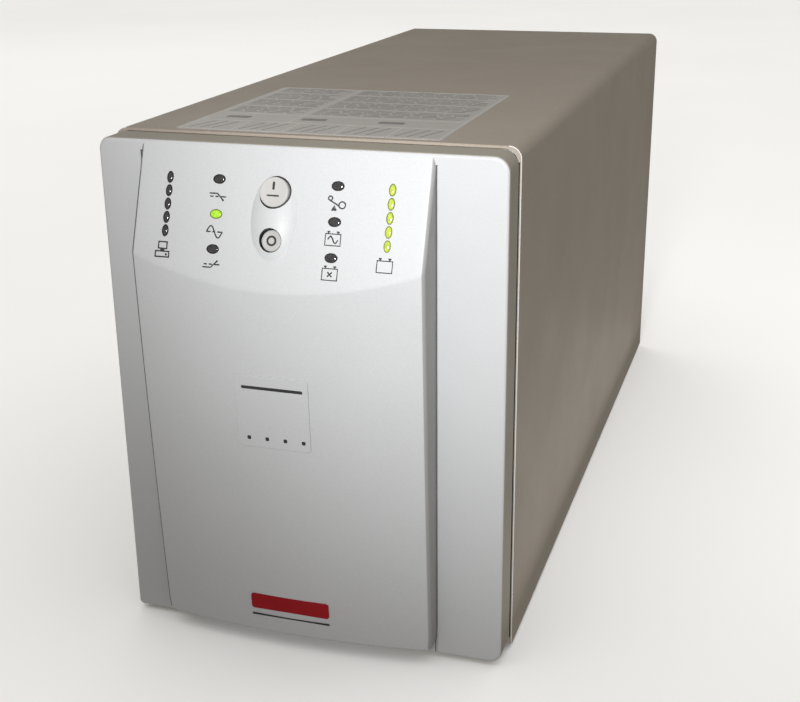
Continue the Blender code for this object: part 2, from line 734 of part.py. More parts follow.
def make_pillow():
    """The raised oval round both buttons: a dome over a circle, drawn out down the slope."""
    radius = (PILLOW_HALF_X**2 + PILLOW_RISE**2) / (2 * PILLOW_RISE)
    profile = []
    for step in range(PILLOW_RINGS + 1):
        across = PILLOW_HALF_X * step / PILLOW_RINGS
        profile.append((across, math.sqrt(radius**2 - across**2) - radius + PILLOW_RISE))
    profile += [(PILLOW_HALF_X, -ROOT), (0.0, -ROOT)]
    pillow = turned("button_pillow", profile, None, (PILLOW_X, -PILLOW_S, 0), LEVEL, 32)
    pillow.scale.y = PILLOW_HALF_S / PILLOW_HALF_X
    return on_facet(pillow)


def make_bezel_holes():
    lamps = []
    for x, spots, (radius_x, radius_s), _ in LAMP_COLUMNS.values():
        lamps += [ring((x, -s), radius_x, radius_s, 12) for s in spots]
    holes = [on_facet(flat("lamp_holes", lamps, 2 * PAD_DEPTH, rotation=LEVEL))]
    for name, (s, radius, *_) in BUTTONS.items():
        start, end = (PILLOW_X, -s, PILLOW_RISE + OVERCUT), (PILLOW_X, -s, -2 * PAD_DEPTH)
        holes.append(on_facet(cylinder(f"{name}_hole", radius + GAP, start, end)))
    return holes


def make_badge():
    """A thin square plate moulded on the belly, leaning as the belly does there."""
    drop = crease(BADGE_X)[1] - BADGE_Z
    lean = BELLY_LEAN + drop / BELLY_LONG_RADIUS
    inwards = (BADGE_ROOT - BADGE_RISE) / 2
    place = (
        BADGE_X,
        belly_y(BADGE_X, BADGE_Z) + inwards * math.cos(lean),
        BADGE_Z + inwards * math.sin(lean),
    )
    outline = rounded((0, 0), BADGE, BADGE, BADGE_CORNER, 2)
    thickness = BADGE_RISE + BADGE_ROOT
    return flat("badge", [outline], thickness, None, place, (math.pi / 2 + lean, 0, 0))


def make_front_bezel():
    bezel = make_bezel_tray()
    raised = raised_block("raised_middle", 0.0, STRIP_Y + RAISED_ROOT, FACET_TOP_Z)
    bevel(raised, RAISED_EDGE)
    join(bezel, raised, make_badge(), make_pillow())
    cut(bezel, make_bezel_cavity(), *make_bezel_holes())
    for side in (-1, 1):
        for z in HOOK_ZS:
            low = (side * HOOK_X - HOOK_HALF_X, STRIP_Y + SKIN / 2, z - HOOK_HALF_Z)
            high = (side * HOOK_X + HOOK_HALF_X, BULKHEAD_Y + HOOK_REACH, z + HOOK_HALF_Z)
            join(bezel, box(f"snap_hook_{side}_{z:.3f}", low, high))


def make_light_pipes():
    """Clear combs: a plate from the lamps on the display board to the studs in the facet's holes."""
    for name, (x, spots, (radius_x, radius_s), thickness) in LAMP_COLUMNS.items():
        front_high = facet_point(spots[0] - PIPE_MARGIN, PIPE_H)
        front_low = facet_point(spots[-1] + PIPE_MARGIN, PIPE_H)
        outline = [
            front_high,
            (PIPE_BACK_Y, front_high[1]),
            (PIPE_BACK_Y, front_low[1]),
            front_low,
        ]
        lens = GREEN_LENS if name == "light_pipe_battery" else SMOKED_LENS
        plate = flat(name, [outline], thickness, lens, (x, 0, 0), SIDEWAYS)
        studs = [ring((x, -s), radius_x - GAP, radius_s - GAP, 12) for s in spots]
        middle = (0, 0, -STUD_LENGTH / 2)
        join(plate, on_facet(flat(f"{name}_studs", studs, STUD_LENGTH, None, middle, LEVEL)))


def make_buttons():
    """Caps in the pillow, each with a flange behind the bezel and a stem that reaches its switch."""
    for name, (s, radius, reach, cap_h) in BUTTONS.items():
        flange = radius + BUTTON_FLANGE
        flange_top = -PAD_DEPTH - GAP
        profile = [
            (0.0, cap_h),
            (radius - CAP_EDGE, cap_h),
            (radius, cap_h - CAP_EDGE),
            (radius, flange_top),
            (flange, flange_top),
            (flange, flange_top - FLANGE_SHEET),
            (STEM_RADIUS, flange_top - FLANGE_SHEET),
            (STEM_RADIUS, -reach),
            (0.0, -reach),
        ]
        on_facet(turned(name, profile, BEZEL_PLASTIC, (PILLOW_X, -s, 0), LEVEL, 24))


def make_display_board():
    """The board behind the facet, with its rows of lamps and two switches, on four feet."""
    low = (DISPLAY_XS[0], BOARD_FACE_Y, DISPLAY_ZS[0])
    high = (DISPLAY_XS[1], BOARD_FACE_Y + CIRCUIT_SHEET, DISPLAY_ZS[1])
    board = box("display_board", low, high, CIRCUIT_BOARD)
    lamps = []
    for x, spots, _, _ in LAMP_COLUMNS.values():
        heights = [facet_point(s, 0)[1] for s in spots]
        middle = (heights[0] + heights[-1]) / 2
        lamps.append(rectangle((x, middle), LAMP_WIDTH, heights[0] - heights[-1] + 2 * LAMP_MARGIN))
    join(board, upright_block("lamp_rows", lamps, LAMP_FACE_Y, BOARD_FACE_Y + ROOT / 2))
    switches = []
    for s, _, reach, _ in BUTTONS.values():
        height = facet_point(s, -reach - SWITCH_DROP)[1]
        switches.append(rectangle((PILLOW_X, height), SWITCH_SIZE, SWITCH_SIZE))
    join(board, upright_block("switches", switches, BOARD_FACE_Y - SWITCH_HEIGHT, BOARD_FACE_Y + ROOT / 2))
    inset_x, inset_z = DISPLAY_FOOT_INSET
    xs = (DISPLAY_XS[0] + inset_x, DISPLAY_XS[1] - inset_x)
    zs = (DISPLAY_ZS[0] + inset_z, DISPLAY_ZS[1] - inset_z)
    feet = [rectangle((x, z), DISPLAY_FOOT_SIZE, DISPLAY_FOOT_SIZE) for x in xs for z in zs]
    join(board, upright_block("board_feet", feet, BOARD_FACE_Y + ROOT, BULKHEAD_Y - GAP))


# ---- battery bay ----


def make_battery_door():
    middle = (0, (DOOR_TOP_Z + DOOR_BOTTOM_Z) / 2)
    outline = rounded(middle, 2 * DOOR_HALF, DOOR_TOP_Z - DOOR_BOTTOM_Z, DOOR_CORNER, 2)
    holes = [ring((x, DOOR_SCREW_Z), DOOR_SCREW_HOLE, steps=12) for x in DOOR_SCREW_XS]
    flat("battery_door", [outline, *holes], SHEET, ZINC_STEEL, (0, DOOR_Y + SHEET / 2, 0))
    for number, x in enumerate(DOOR_SCREW_XS, 1):
        place = (x, DOOR_Y - GAP, DOOR_SCREW_Z)
        screw(f"battery_door_screw_{number}", place, UPRIGHT, DOOR_SCREW)


def screw(name, place, rotation, size, mat=ZINC_STEEL):
    """A pan-head screw whose head rests at this place, its Z axis pointing out of the head."""
    head, head_height, shank, length = size
    profile = [
        (0.0, head_height),
        (head * 0.75, head_height),
        (head, head_height * 0.6),
        (head, 0.0),
        (shank, 0.0),
        (shank, -length),
        (0.0, -length),
    ]
    return turned(name, profile, mat, place, rotation, 16)


def make_battery(name, front_y):
    half_x = BATTERY_SIZE[0] / 2
    low = (-half_x, front_y, BATTERY_BOTTOM_Z)
    high = (half_x, front_y + BATTERY_SIZE[1], BATTERY_TOP_Z)
    battery = box(name, low, high, BATTERY_CASE)
    bevel(battery, BATTERY_EDGE, 1)
    tab_y = front_y + TERMINAL_INSET
    tabs = [rectangle((x, tab_y), *TERMINAL_SIZE) for x in (-TERMINAL_X, TERMINAL_X)]
    start = BATTERY_TOP_Z - ROOT
    middle = (0, 0, (start + TERMINAL_TOP_Z) / 2)
    join(battery, flat(f"{name}_terminals", tabs, TERMINAL_TOP_Z - start, None, middle, LEVEL))


def make_battery_strap():
    top = BATTERY_TOP_Z + BATTERY_SPACE
    front = BATTERY_FRONT_Y - BATTERY_SPACE
    outline = [
        (front - STRAP_SHEET, STRAP_BOTTOM_Z),
        (front, STRAP_BOTTOM_Z),
        (front, top),
        (STRAP_BACK_Y, top),
        (STRAP_BACK_Y, top + STRAP_SHEET),
        (front - STRAP_SHEET, top + STRAP_SHEET),
    ]
    flat("battery_strap", [outline], STRAP_WIDTH, STRAP_PLASTIC, rotation=SIDEWAYS)


def make_battery_plug():
    top = BATTERY_TOP_Z + GAP
    plug = box("battery_plug", (*PLUG_LOW, top), (*PLUG_HIGH, top + PLUG_HEIGHT), PLUG_GREY)
    bevel(plug, PLUG_EDGE, 1)


def make_battery_link(rear_front_y):
    """The insulated lead between the two batteries' inner terminals."""
    start_y, end_y = BATTERY_FRONT_Y + TERMINAL_INSET, rear_front_y + TERMINAL_INSET
    middle, reach = (start_y + end_y) / 2, (end_y - start_y) / 2
    curve = bpy.data.curves.new("battery_link", "CURVE")
    curve.dimensions = "3D"
    curve.bevel_depth = LINK_RADIUS
    curve.bevel_resolution = 2
    curve.use_fill_caps = True
    spline = curve.splines.new("POLY")
    spline.points.add(LINK_STEPS)
    for step, point in enumerate(spline.points):
        angle = math.pi * step / LINK_STEPS
        lift = TERMINAL_TOP_Z + LINK_RADIUS + BATTERY_SPACE + LINK_RISE * math.sin(angle)
        point.co = (-TERMINAL_X, middle - reach * math.cos(angle), lift, 1.0)
    link = bpy.data.objects.new("battery_link_path", curve)
    CUTTERS.objects.link(link)
    add("battery_link", baked(link), RED_WIRE)


def make_battery_pack():
    rear_front_y = BATTERY_FRONT_Y + BATTERY_SIZE[1] + BATTERY_SPACE
    make_battery("battery_front", BATTERY_FRONT_Y)
    make_battery("battery_rear", rear_front_y)
    make_battery_strap()
    make_battery_plug()
    make_battery_link(rear_front_y)


# ---- power parts inside the case ----


def make_transformer():
    middle_z = CORE_BOTTOM_Z + CORE_HEIGHT / 2
    outline = rectangle((0, middle_z), 2 * CORE_HALF_X, CORE_HEIGHT)
    window_height = CORE_HEIGHT - 2 * LEG
    windows = [rectangle((side * 1.5 * LEG, middle_z), LEG, window_height) for side in (-1, 1)]
    place = (0, CORE_Y, 0)
    flat("transformer_core", [outline, *windows], 2 * CORE_HALF_Y, CORE_STEEL, place)

    play = 2 * WINDING_PLAY
    outer = rounded((0, CORE_Y), 4 * LEG - play, 2 * CORE_HALF_Y + 2 * LEG, WINDING_CORNER)
    inner = rectangle((0, CORE_Y), 2 * LEG + play, 2 * CORE_HALF_Y + play)
    height = window_height - play
    flat("transformer_winding", [outer, inner], height, COPPER_WINDING, (0, 0, middle_z), LEVEL)

    half, top = CORE_HALF_X + GAP, CORE_BOTTOM_Z + CORE_HEIGHT + GAP
    foot_z, foot_half, wall = PLATE_BOTTOM_Z, BRACKET_HALF_X, BRACKET_SHEET
    strap = [
        (-foot_half, foot_z),
        (-half, foot_z),
        (-half, top),
        (half, top),
        (half, foot_z),
        (foot_half, foot_z),
        (foot_half, foot_z + wall),
        (half + wall, foot_z + wall),
        (half + wall, top + wall),
        (-half - wall, top + wall),
        (-half - wall, foot_z + wall),
        (-foot_half, foot_z + wall),
    ]
    flat("transformer_bracket", [strap], BRACKET_WIDTH, ZINC_STEEL, place)


def make_main_board():
    low, high = (-BOARD_HALF_X, BOARD_YS[0], BOARD_Z), (BOARD_HALF_X, BOARD_YS[1], BOARD_TOP_Z)
    box("main_board", low, high, CIRCUIT_BOARD)


def make_heat_sinks():
    """Finned bars along both sides of the board."""
    bottom = BOARD_TOP_Z + GAP
    back, root = SINK_WEB
    for number, side in enumerate((-1, 1), 1):
        outline = [(side * back, bottom)]
        for index in range(SINK_FINS):
            z = bottom + SINK_PITCH * index
            outline += [(side * SINK_TIP, z), (side * SINK_TIP, z + SINK_FIN)]
            if index < SINK_FINS - 1:
                outline += [(side * root, z + SINK_FIN), (side * root, z + SINK_PITCH)]
        outline.append((side * back, bottom + SINK_PITCH * (SINK_FINS - 1) + SINK_FIN))
        flat(f"heat_sink_{number}", [outline], SINK_LENGTH, ALUMINIUM, (0, SINK_Y, 0))


def make_capacitors():
    for number, (x, y) in enumerate(CAPACITOR_SPOTS, 1):
        low, high = (x, y, BOARD_TOP_Z + GAP), (x, y, BOARD_TOP_Z + CAPACITOR_HEIGHT)
        can = cylinder(f"capacitor_{number}", CAPACITOR_RADIUS, low, high, CAPACITOR_SLEEVE, 20)
        bevel(can, SMALL_EDGE, 1)


def make_relays():
    for number, y in enumerate(RELAY_YS, 1):
        low = (RELAY_XS[0], y, BOARD_TOP_Z + GAP)
        high = (RELAY_XS[1], y + RELAY_DEPTH, BOARD_TOP_Z + RELAY_HEIGHT)
        bevel(box(f"relay_{number}", low, high, BLACK_PLASTIC), SMALL_EDGE, 1)


# ---- fan ----


def make_fan():
    back_y = FAN_Y + FAN_DEPTH
    outline = rounded((FAN_X, FAN_Z), FAN_SIZE, FAN_SIZE, FAN_CORNER, 2)
    bore = ring((FAN_X, FAN_Z), FAN_BORE, steps=32)
    frame = upright_block("fan_frame", [outline, bore], FAN_Y, back_y, BLACK_PLASTIC)
    front_end, back_end = ((FAN_X, back_y - inset, FAN_Z) for inset in MOTOR_MOUNT_YS)
    join(frame, cylinder("fan_motor_mount", MOTOR_MOUNT, front_end, back_end))
    strut_length = 2 * (FAN_BORE + ROOT)
    front_y, rear_y = (back_y - inset for inset in STRUT_YS)
    struts = {"across": (strut_length, 2 * STRUT_HALF), "upright": (2 * STRUT_HALF, strut_length)}
    for name, size in struts.items():
        strut = rectangle((FAN_X, FAN_Z), *size)
        join(frame, upright_block(f"fan_strut_{name}", [strut], front_y, rear_y))
    make_fan_rotor(back_y - ROTOR_BACK)
    make_fan_grille()


def make_fan_rotor(back_y):
    """The hub and its pitched blades, about the rotor's own Y axis."""
    front_y = FAN_Y + ROTOR_INSET
    centre = Vector((FAN_X, (front_y + back_y) / 2, FAN_Z))
    half = Vector((0, (back_y - front_y) / 2, 0))
    rotor = cylinder("fan_rotor", FAN_HUB, centre - half, centre + half, BLACK_PLASTIC, 28)
    bevel(rotor, SMALL_EDGE, 1)
    low = (FAN_HUB - BLADE_ROOT, -BLADE_HALF_CHORD, -BLADE_HALF_SHEET)
    high = (FAN_BORE - BLADE_PLAY, BLADE_HALF_CHORD, BLADE_HALF_SHEET)
    pitch = Matrix.Rotation(BLADE_PITCH, 4, "X")
    for number in range(BLADES):
        blade = box(f"fan_blade_{number + 1}", low, high)
        spin = Matrix.Rotation(2 * math.pi * number / BLADES, 4, "Y")
        slide_out = Matrix.Translation((blade.location.x, 0, 0))
        blade.matrix_world = Matrix.Translation(centre) @ spin @ slide_out @ pitch
        join(rotor, blade)


def make_fan_grille():
    slots = []
    for inner, outer, steps in GRILLE_RINGS:
        margin = math.degrees(GRILLE_SPOKE_HALF / inner)
        for quarter in range(4):
            start, end = 90 * quarter + margin, 90 * quarter + 90 - margin
            edge = arc((FAN_X, FAN_Z), outer, start, end, steps)
            slots.append(edge + arc((FAN_X, FAN_Z), inner, end, start, steps))
    outline = rounded((FAN_X, FAN_Z), FAN_SIZE, FAN_SIZE, GRILLE_CORNER, 2)
    upright_block("fan_grille", [outline, *slots], OUTSIDE_Y, OUTSIDE_Y + GRILLE_SHEET, BLACK_PLASTIC)


# ---- sockets and small parts on the rear panel ----


def socket_outline(width, height, chamfer, grow=0.0):
    """A rectangle with its two upper corners cut off, as on a mains coupler."""
    u, v = width / 2 + grow, height / 2 + grow
    return [(-u, -v), (u, -v), (u, v - chamfer), (u - chamfer, v), (-u + chamfer, v), (-u, v - chamfer)]


def barrel_block(name, front_y, at=(0, 0)):
    """The body behind an outlet's or the inlet's flange, whose outer face is at this y."""
    outline = rounded((0, 0), *OUTLET_BARREL, BARREL_CORNER, 1)
    return upright_block(name, [outline], front_y - ROOT - BARREL_LENGTH, front_y - ROOT, at=at)


def make_outlets():
    """Eight mains outlets: a flange outside, a barrel inside, and a groove round three contact slots."""
    half = OUTLET_FLANGE_HEIGHT / 2
    flange = rounded((0, 0), *OUTLET_FLANGE, 2)
    outlet = upright_block("outlet_pattern", [flange], -half, half, BLACK_PLASTIC)
    join(outlet, barrel_block("outlet_barrel", half))
    groove = [socket_outline(*GROOVE_OUTSIDE), socket_outline(*GROOVE_INSIDE)]
    slots = [rectangle(spot, *CONTACT_SLOT) for spot in OUTLET_CONTACTS]
    for name, outlines in (("groove", groove), ("slots", slots)):
        cut(outlet, upright_block(f"outlet_{name}", outlines, half - OUTLET_DEPTH, half + OVERCUT))
    mesh = baked(outlet)
    spots = [(x, z) for z in OUTLET_ZS[::-1] for x in OUTLET_XS]
    for number, (x, z) in enumerate(spots, 1):
        add(f"outlet_{number}", mesh, BLACK_PLASTIC, (x, OUTSIDE_Y + half, z), UPRIGHT)


def make_ac_inlet():
    """The mains inlet: ears for two screws, a deep recess and three blades in it."""
    at = (INLET_X, INLET_Z)
    front_y = OUTSIDE_Y + INLET_FLANGE_HEIGHT
    screw_holes = [ring((side * INLET_SCREW_X, 0), INLET_SCREW_HOLE, steps=10) for side in (-1, 1)]
    flange = rounded((0, 0), *INLET_FLANGE, 2)
    inlet = upright_block("ac_inlet", [flange, *screw_holes], OUTSIDE_Y, front_y, BLACK_PLASTIC, at)
    join(inlet, barrel_block("inlet_barrel", front_y, at))
    recess = socket_outline(*INLET_RECESS)
    cut(inlet, upright_block("inlet_recess", [recess], front_y - INLET_DEPTH, front_y + INLET_DEPTH, at=at))
    blades = [rectangle(spot, *BLADE_SIZE) for spot in INLET_BLADES]
    low_y, high_y = (front_y - inset for inset in INLET_BLADE_YS)
    join(inlet, upright_block("inlet_blades", blades, low_y, high_y, at=at))


def make_serial_port():
    """A nine-way port: a flange, a tapered shell and two hexagonal jack posts."""
    at = (SERIAL_X, SERIAL_Z)
    flange = rounded((0, 0), *SERIAL_FLANGE, 2)
    port = upright_block("serial_port", [flange], OUTSIDE_Y, OUTSIDE_Y + SMALL_EDGE, BRIGHT_STEEL, at)
    start = OUTSIDE_Y + ROOT / 2
    end = start + SERIAL_SHELL_LENGTH
    join(port, upright_block("serial_shell", [SERIAL_SHELL], start, end, at=at))
    half_x, half_z, length = SERIAL_BODY
    low = (SERIAL_X - half_x, PANEL_FACE_Y - length, SERIAL_Z - half_z)
    join(port, box("serial_body", low, (SERIAL_X + half_x, start + ROOT / 4, SERIAL_Z + half_z)))
    posts = [ring((side * JACK_POST_X, 0), JACK_POST_RADIUS, steps=6) for side in (-1, 1)]
    join(port, upright_block("serial_posts", posts, start, end, at=at))


def make_usb_port():
    half_x, half_z = USB_HALF
    front_y = OUTSIDE_Y + ROOT / 2
    low = (USB_X - half_x, PANEL_FACE_Y - USB_BODY, SERIAL_Z - half_z)
    port = box("usb_port", low, (USB_X + half_x, front_y, SERIAL_Z + half_z), BRIGHT_STEEL)
    outlines = [socket_outline(*USB_MOUTH), rectangle((0, 0), *USB_TONGUE)]
    mouth = upright_block("usb_mouth", outlines, front_y - USB_DEPTH, front_y + OVERCUT, at=(USB_X, SERIAL_Z))
    cut(port, mouth)


def make_breaker():
    """The resettable breaker: a body inside, a nut outside and the reset plunger in its bush."""
    half_x, half_z = BREAKER_HALF
    body_y = PANEL_BACK_Y - GAP
    nut_y = OUTSIDE_Y + NUT_HEIGHT

    def along(y):
        return (BREAKER_X, y, BREAKER_Z)

    low = (BREAKER_X - half_x, body_y - BREAKER_BODY, BREAKER_Z - half_z)
    body = box("breaker_body", low, (BREAKER_X + half_x, body_y, BREAKER_Z + half_z), BLACK_PLASTIC)
    bush = cylinder("breaker_bush", BUSH_RADIUS, along(body_y - ROOT), along(nut_y), segments=16)
    nut = cylinder("breaker_nut", NUT_RADIUS, along(OUTSIDE_Y), along(nut_y), segments=6)
    bore_end = nut_y - PLUNGER_INSIDE - PLUNGER_SPACE
    bore = cylinder("breaker_bore", PLUNGER_BORE, along(bore_end), along(nut_y + OVERCUT), segments=20)
    join(body, bush, nut)
    cut(body, bore)
    profile = [
        (0.0, PLUNGER_OUTSIDE),
        (PLUNGER_RADIUS - PLUNGER_EDGE, PLUNGER_OUTSIDE),
        (PLUNGER_RADIUS, PLUNGER_OUTSIDE - PLUNGER_EDGE),
        (PLUNGER_RADIUS, -PLUNGER_INSIDE),
        (0.0, -PLUNGER_INSIDE),
    ]
    turned("breaker_button", profile, BLACK_PLASTIC, along(nut_y), OUTWARDS)


def make_slot_cover():
    holes = [ring((side * SLOT_SCREW_X, SLOT_Z), SLOT_SCREW_HOLE, steps=12) for side in (-1, 1)]
    plate = rounded((0, SLOT_Z), *SLOT_COVER, 2)
    upright_block("slot_cover", [plate, *holes], OUTSIDE_Y, OUTSIDE_Y + SHEET, BLACK_PLASTIC)


def make_rear_fasteners():
    thumb_y = OUTSIDE_Y + SHEET + GAP
    cover_y = OUTSIDE_Y + TAB_SPACE + TAB_SHEET + GAP
    for number, side in enumerate((-1, 1), 1):
        place = (side * SLOT_SCREW_X, thumb_y, SLOT_Z)
        screw(f"slot_thumbscrew_{number}", place, OUTWARDS, THUMBSCREW, BRIGHT_STEEL)
        screw(f"cover_screw_{number}", (side * TAB_SCREW_X, cover_y, TAB_SCREW_Z), OUTWARDS, COVER_SCREW)
    screw("ground_screw", (GROUND_X, OUTSIDE_Y, BREAKER_Z), OUTWARDS, EARTH_SCREW, BRIGHT_STEEL)


# ---- build ----

make_chassis_base()
make_outer_cover()
make_front_bulkhead()
make_battery_shelf()
make_feet()
make_rear_panel()

FACET = make_facet_frame()
make_front_bezel()
make_light_pipes()
make_buttons()
make_display_board()

make_battery_door()
make_battery_pack()

make_transformer()
make_main_board()
make_heat_sinks()
make_capacitors()
make_relays()
make_fan()

make_outlets()
make_ac_inlet()
make_serial_port()
make_usb_port()
make_breaker()
make_slot_cover()
make_rear_fasteners()

bpy.context.view_layer.update()
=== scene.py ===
"""Looks for the tower uninterruptible power supply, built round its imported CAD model.

Metres, +Z up, and the front faces -Y, as in the CAD.
"""

import json
import math
import random

import bmesh
import bpy
from mathutils import Matrix, Vector


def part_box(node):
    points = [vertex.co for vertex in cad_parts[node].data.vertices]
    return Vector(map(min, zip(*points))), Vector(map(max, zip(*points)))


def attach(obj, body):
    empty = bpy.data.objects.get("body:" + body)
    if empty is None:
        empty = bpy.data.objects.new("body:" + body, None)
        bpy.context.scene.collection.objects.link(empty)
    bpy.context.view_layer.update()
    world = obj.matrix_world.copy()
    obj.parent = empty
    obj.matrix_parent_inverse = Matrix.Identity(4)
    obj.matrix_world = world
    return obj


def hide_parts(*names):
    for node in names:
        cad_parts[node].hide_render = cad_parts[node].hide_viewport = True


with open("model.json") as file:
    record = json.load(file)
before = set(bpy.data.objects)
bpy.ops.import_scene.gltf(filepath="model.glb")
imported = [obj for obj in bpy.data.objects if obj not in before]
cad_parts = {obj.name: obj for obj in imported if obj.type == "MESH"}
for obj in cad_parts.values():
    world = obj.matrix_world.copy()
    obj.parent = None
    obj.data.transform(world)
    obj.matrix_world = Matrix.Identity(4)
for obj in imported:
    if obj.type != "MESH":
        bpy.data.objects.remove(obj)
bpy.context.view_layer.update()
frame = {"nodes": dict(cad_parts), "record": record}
SCENE = bpy.context.scene

# The case and bezel, as the CAD has them
COVER_LOW, COVER_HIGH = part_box("outer_cover")
COVER_SHEET = 0.0010
COVER_RADIUS = 0.0050
FRONT_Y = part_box("front_bezel")[0].y
BEZEL_HALF = 0.0842
BEZEL_BOTTOM_Z = 0.0020
BEZEL_TOP_Z = 0.2149
MID_Z = (BEZEL_BOTTOM_Z + BEZEL_TOP_Z) / 2
BEZEL_BACK_Y = -0.1848
TRAY_CORNERS = (0.0062, 0.0050, 0.0024, 0.0055)
BOARD_FACE_Y = -0.1885
STRIP_Y = -0.2000
SKIN = 0.0025
RAISED_X = -0.0042
RAISED_HALF = 0.0605
RAISED_BOTTOM_Z = 0.0068
FACET_TOP_Z = 0.2136
FACET_SLOPE = 0.38
FACET_TILT = math.atan(FACET_SLOPE)
BELLY_RADIUS = 0.450
BELLY_LEAN = 0.026
BELLY_LONG_RADIUS = 3.85
GROOVE = 0.0007
GROOVE_DEPTH = 0.0015
PILLOW_X = -0.0053
PILLOW_S = 0.0263
PILLOW_HALF_X = 0.0095
PILLOW_HALF_S = 0.0173
PILLOW_RISE = 0.0030
PAD_DEPTH = 0.0060
BADGE_X = -0.0058
BADGE_Z = 0.1117
BADGE = 0.0310
HOOK_X = 0.0740
HOOK_ZS = (0.1320, 0.2030)
METER_SPOTS = [0.0131 + 0.00525 * step for step in range(5)]
STATUS_SPOTS = [0.0128 + 0.0136 * step for step in range(3)]
METER_LAMP = (0.00145, 0.00240)
STATUS_LAMP = (0.00265, 0.00190)
# Name: x, places down the facet, the lenses' radii, and the moulding's thickness
LAMPS = {
    "light_pipe_load": (-0.0505, METER_SPOTS, METER_LAMP, 0.0024),
    "light_pipe_status_left": (-0.0295, STATUS_SPOTS, STATUS_LAMP, 0.0040),
    "light_pipe_status_right": (0.0193, STATUS_SPOTS, STATUS_LAMP, 0.0040),
    "light_pipe_battery": (0.0409, METER_SPOTS, METER_LAMP, 0.0024),
}
# Name: place down the facet, radius, stem's reach, cap's height, and the width of the black ring of painted gap
# shade
BUTTONS = {
    "on_button": (0.01685, 0.00585, 0.0130, 0.0029, 0.0006),
    "off_button": (0.03520, 0.00420, 0.01996, 0.0004, 0.0004),
}
BATTERY_TAB_X = 0.0600
BATTERY_TAB_INSET = 0.0140
MM = 0.001
# The surround's strength from straight below and from straight above
SKY = (0.305, 0.40)
FACET = Matrix.Translation((0, STRIP_Y, FACET_TOP_Z)) @ Matrix.Rotation(math.pi / 2 - FACET_TILT, 4, "X")
UPRIGHT = Matrix.Rotation(math.pi / 2, 4, "X")
OUTWARDS = Matrix.Rotation(-math.pi / 2, 4, "X")


# ---- materials ----


class Look:
    """A Principled material whose colour, roughness and relief come from procedural nodes."""

    def __init__(self, name, metallic=0.0, **sockets):
        self.mat = bpy.data.materials.new(name)
        self.mat.use_nodes = True
        self.tree = self.mat.node_tree
        self.shader = self.tree.nodes["Principled BSDF"]
        self.shader.inputs["Metallic"].default_value = metallic
        for socket, value in sockets.items():
            self.shader.inputs[socket.replace("_", " ")].default_value = value
        self.place = self.node("TexCoord").outputs["Object"]
        self.height = None

    def node(self, kind, **inputs):
        made = self.tree.nodes.new("ShaderNode" + kind)
        for socket, value in inputs.items():
            self.feed(made.inputs[socket.replace("_", " ")], value)
        return made

    def feed(self, socket, value):
        if isinstance(value, bpy.types.NodeSocket):
            self.tree.links.new(value, socket)
        else:
            socket.default_value = value

    def at(self, stretch, turn=(0.0, 0.0, 0.0)):
        mapping = self.node("Mapping", Vector=self.place, Scale=stretch, Rotation=turn)
        return mapping.outputs["Vector"]

    def noise(self, scale, detail=3.0, stretch=(1.0, 1.0, 1.0)):
        return self.node("TexNoise", Vector=self.at(stretch), Scale=scale, Detail=detail).outputs["Fac"]

    def cells(self, scale):
        return self.node("TexVoronoi", Vector=self.place, Scale=scale).outputs["Distance"]

    def bands(self, scale, axis, distortion):
        made = self.node("TexWave", Vector=self.place, Scale=scale, Distortion=distortion)
        made.bands_direction = axis
        return made.outputs["Fac"]

    def ramp(self, value, *stops):
        made = self.node("ValToRGB", Fac=value)
        elements = made.color_ramp.elements
        while len(elements) < len(stops):
            elements.new(0.5)
        for element, (position, colour) in zip(elements, stops):
            element.position = position
            element.color = (*colour, 1.0)
        return made.outputs["Color"]

    def spread(self, value, low, high):
        """From low to high as the value runs from 0.3 to 0.7, where noise mostly lies."""
        made = self.node("MapRange", Value=value, From_Min=0.3, From_Max=0.7, To_Min=low, To_Max=high)
        return made.outputs["Result"]

    def tint(self, colour, value, amount):
        """The colour, made lighter and darker by this share as the value runs from 0 to 1."""
        shade = self.spread(value, 1 - amount, 1 + amount)
        made = self.node("VectorMath")
        made.operation = "SCALE"
        self.feed(made.inputs[0], colour)
        self.feed(made.inputs["Scale"], shade)
        return made.outputs["Vector"]

    def relief(self, value, depth, strength):
        """Adds a bump layer: this value, as a height of that many metres."""
        made = self.node("Bump", Height=value, Strength=strength, Distance=depth)
        if self.height:
            self.feed(made.inputs["Normal"], self.height)
        self.height = made.outputs["Normal"]

    def done(self, colour, roughness):
        self.feed(self.shader.inputs["Base Color"], colour)
        self.feed(self.shader.inputs["Roughness"], roughness)
        if self.height:
            self.feed(self.shader.inputs["Normal"], self.height)
        return self.mat


def moulded(name, dark, light, rough, grain, depth, patches, speckle, specular=0.5):
    """Plastic, paint or rubber: broad tone changes, a fine speckle and a grained skin."""
    look = Look(name, Specular_IOR_Level=specular)
    broad = look.ramp(look.noise(patches, 4.0), (0.32, dark), (0.68, light))
    fine = look.noise(grain, 2.0)
    look.relief(fine, depth, 0.5)
    look.relief(look.noise(grain / 7, 2.0), depth, 0.25)
    worn = look.noise(patches * 3, 5.0)
    return look.done(look.tint(broad, fine, speckle), look.spread(worn, rough - 0.07, rough + 0.07))


def metal(name, dark, light, rough, streak, scale):
    """Bare or plated metal: stretched streaks over cloudy plating."""
    look = Look(name, metallic=1.0)
    cloud = look.noise(35.0, 5.0)
    lines = look.noise(scale, 4.0, streak)
    look.relief(lines, 0.00002, 0.5)
    base = look.ramp(cloud, (0.3, dark), (0.7, light))
    return look.done(look.tint(base, lines, 0.06), look.spread(lines, rough - 0.08, rough + 0.10))


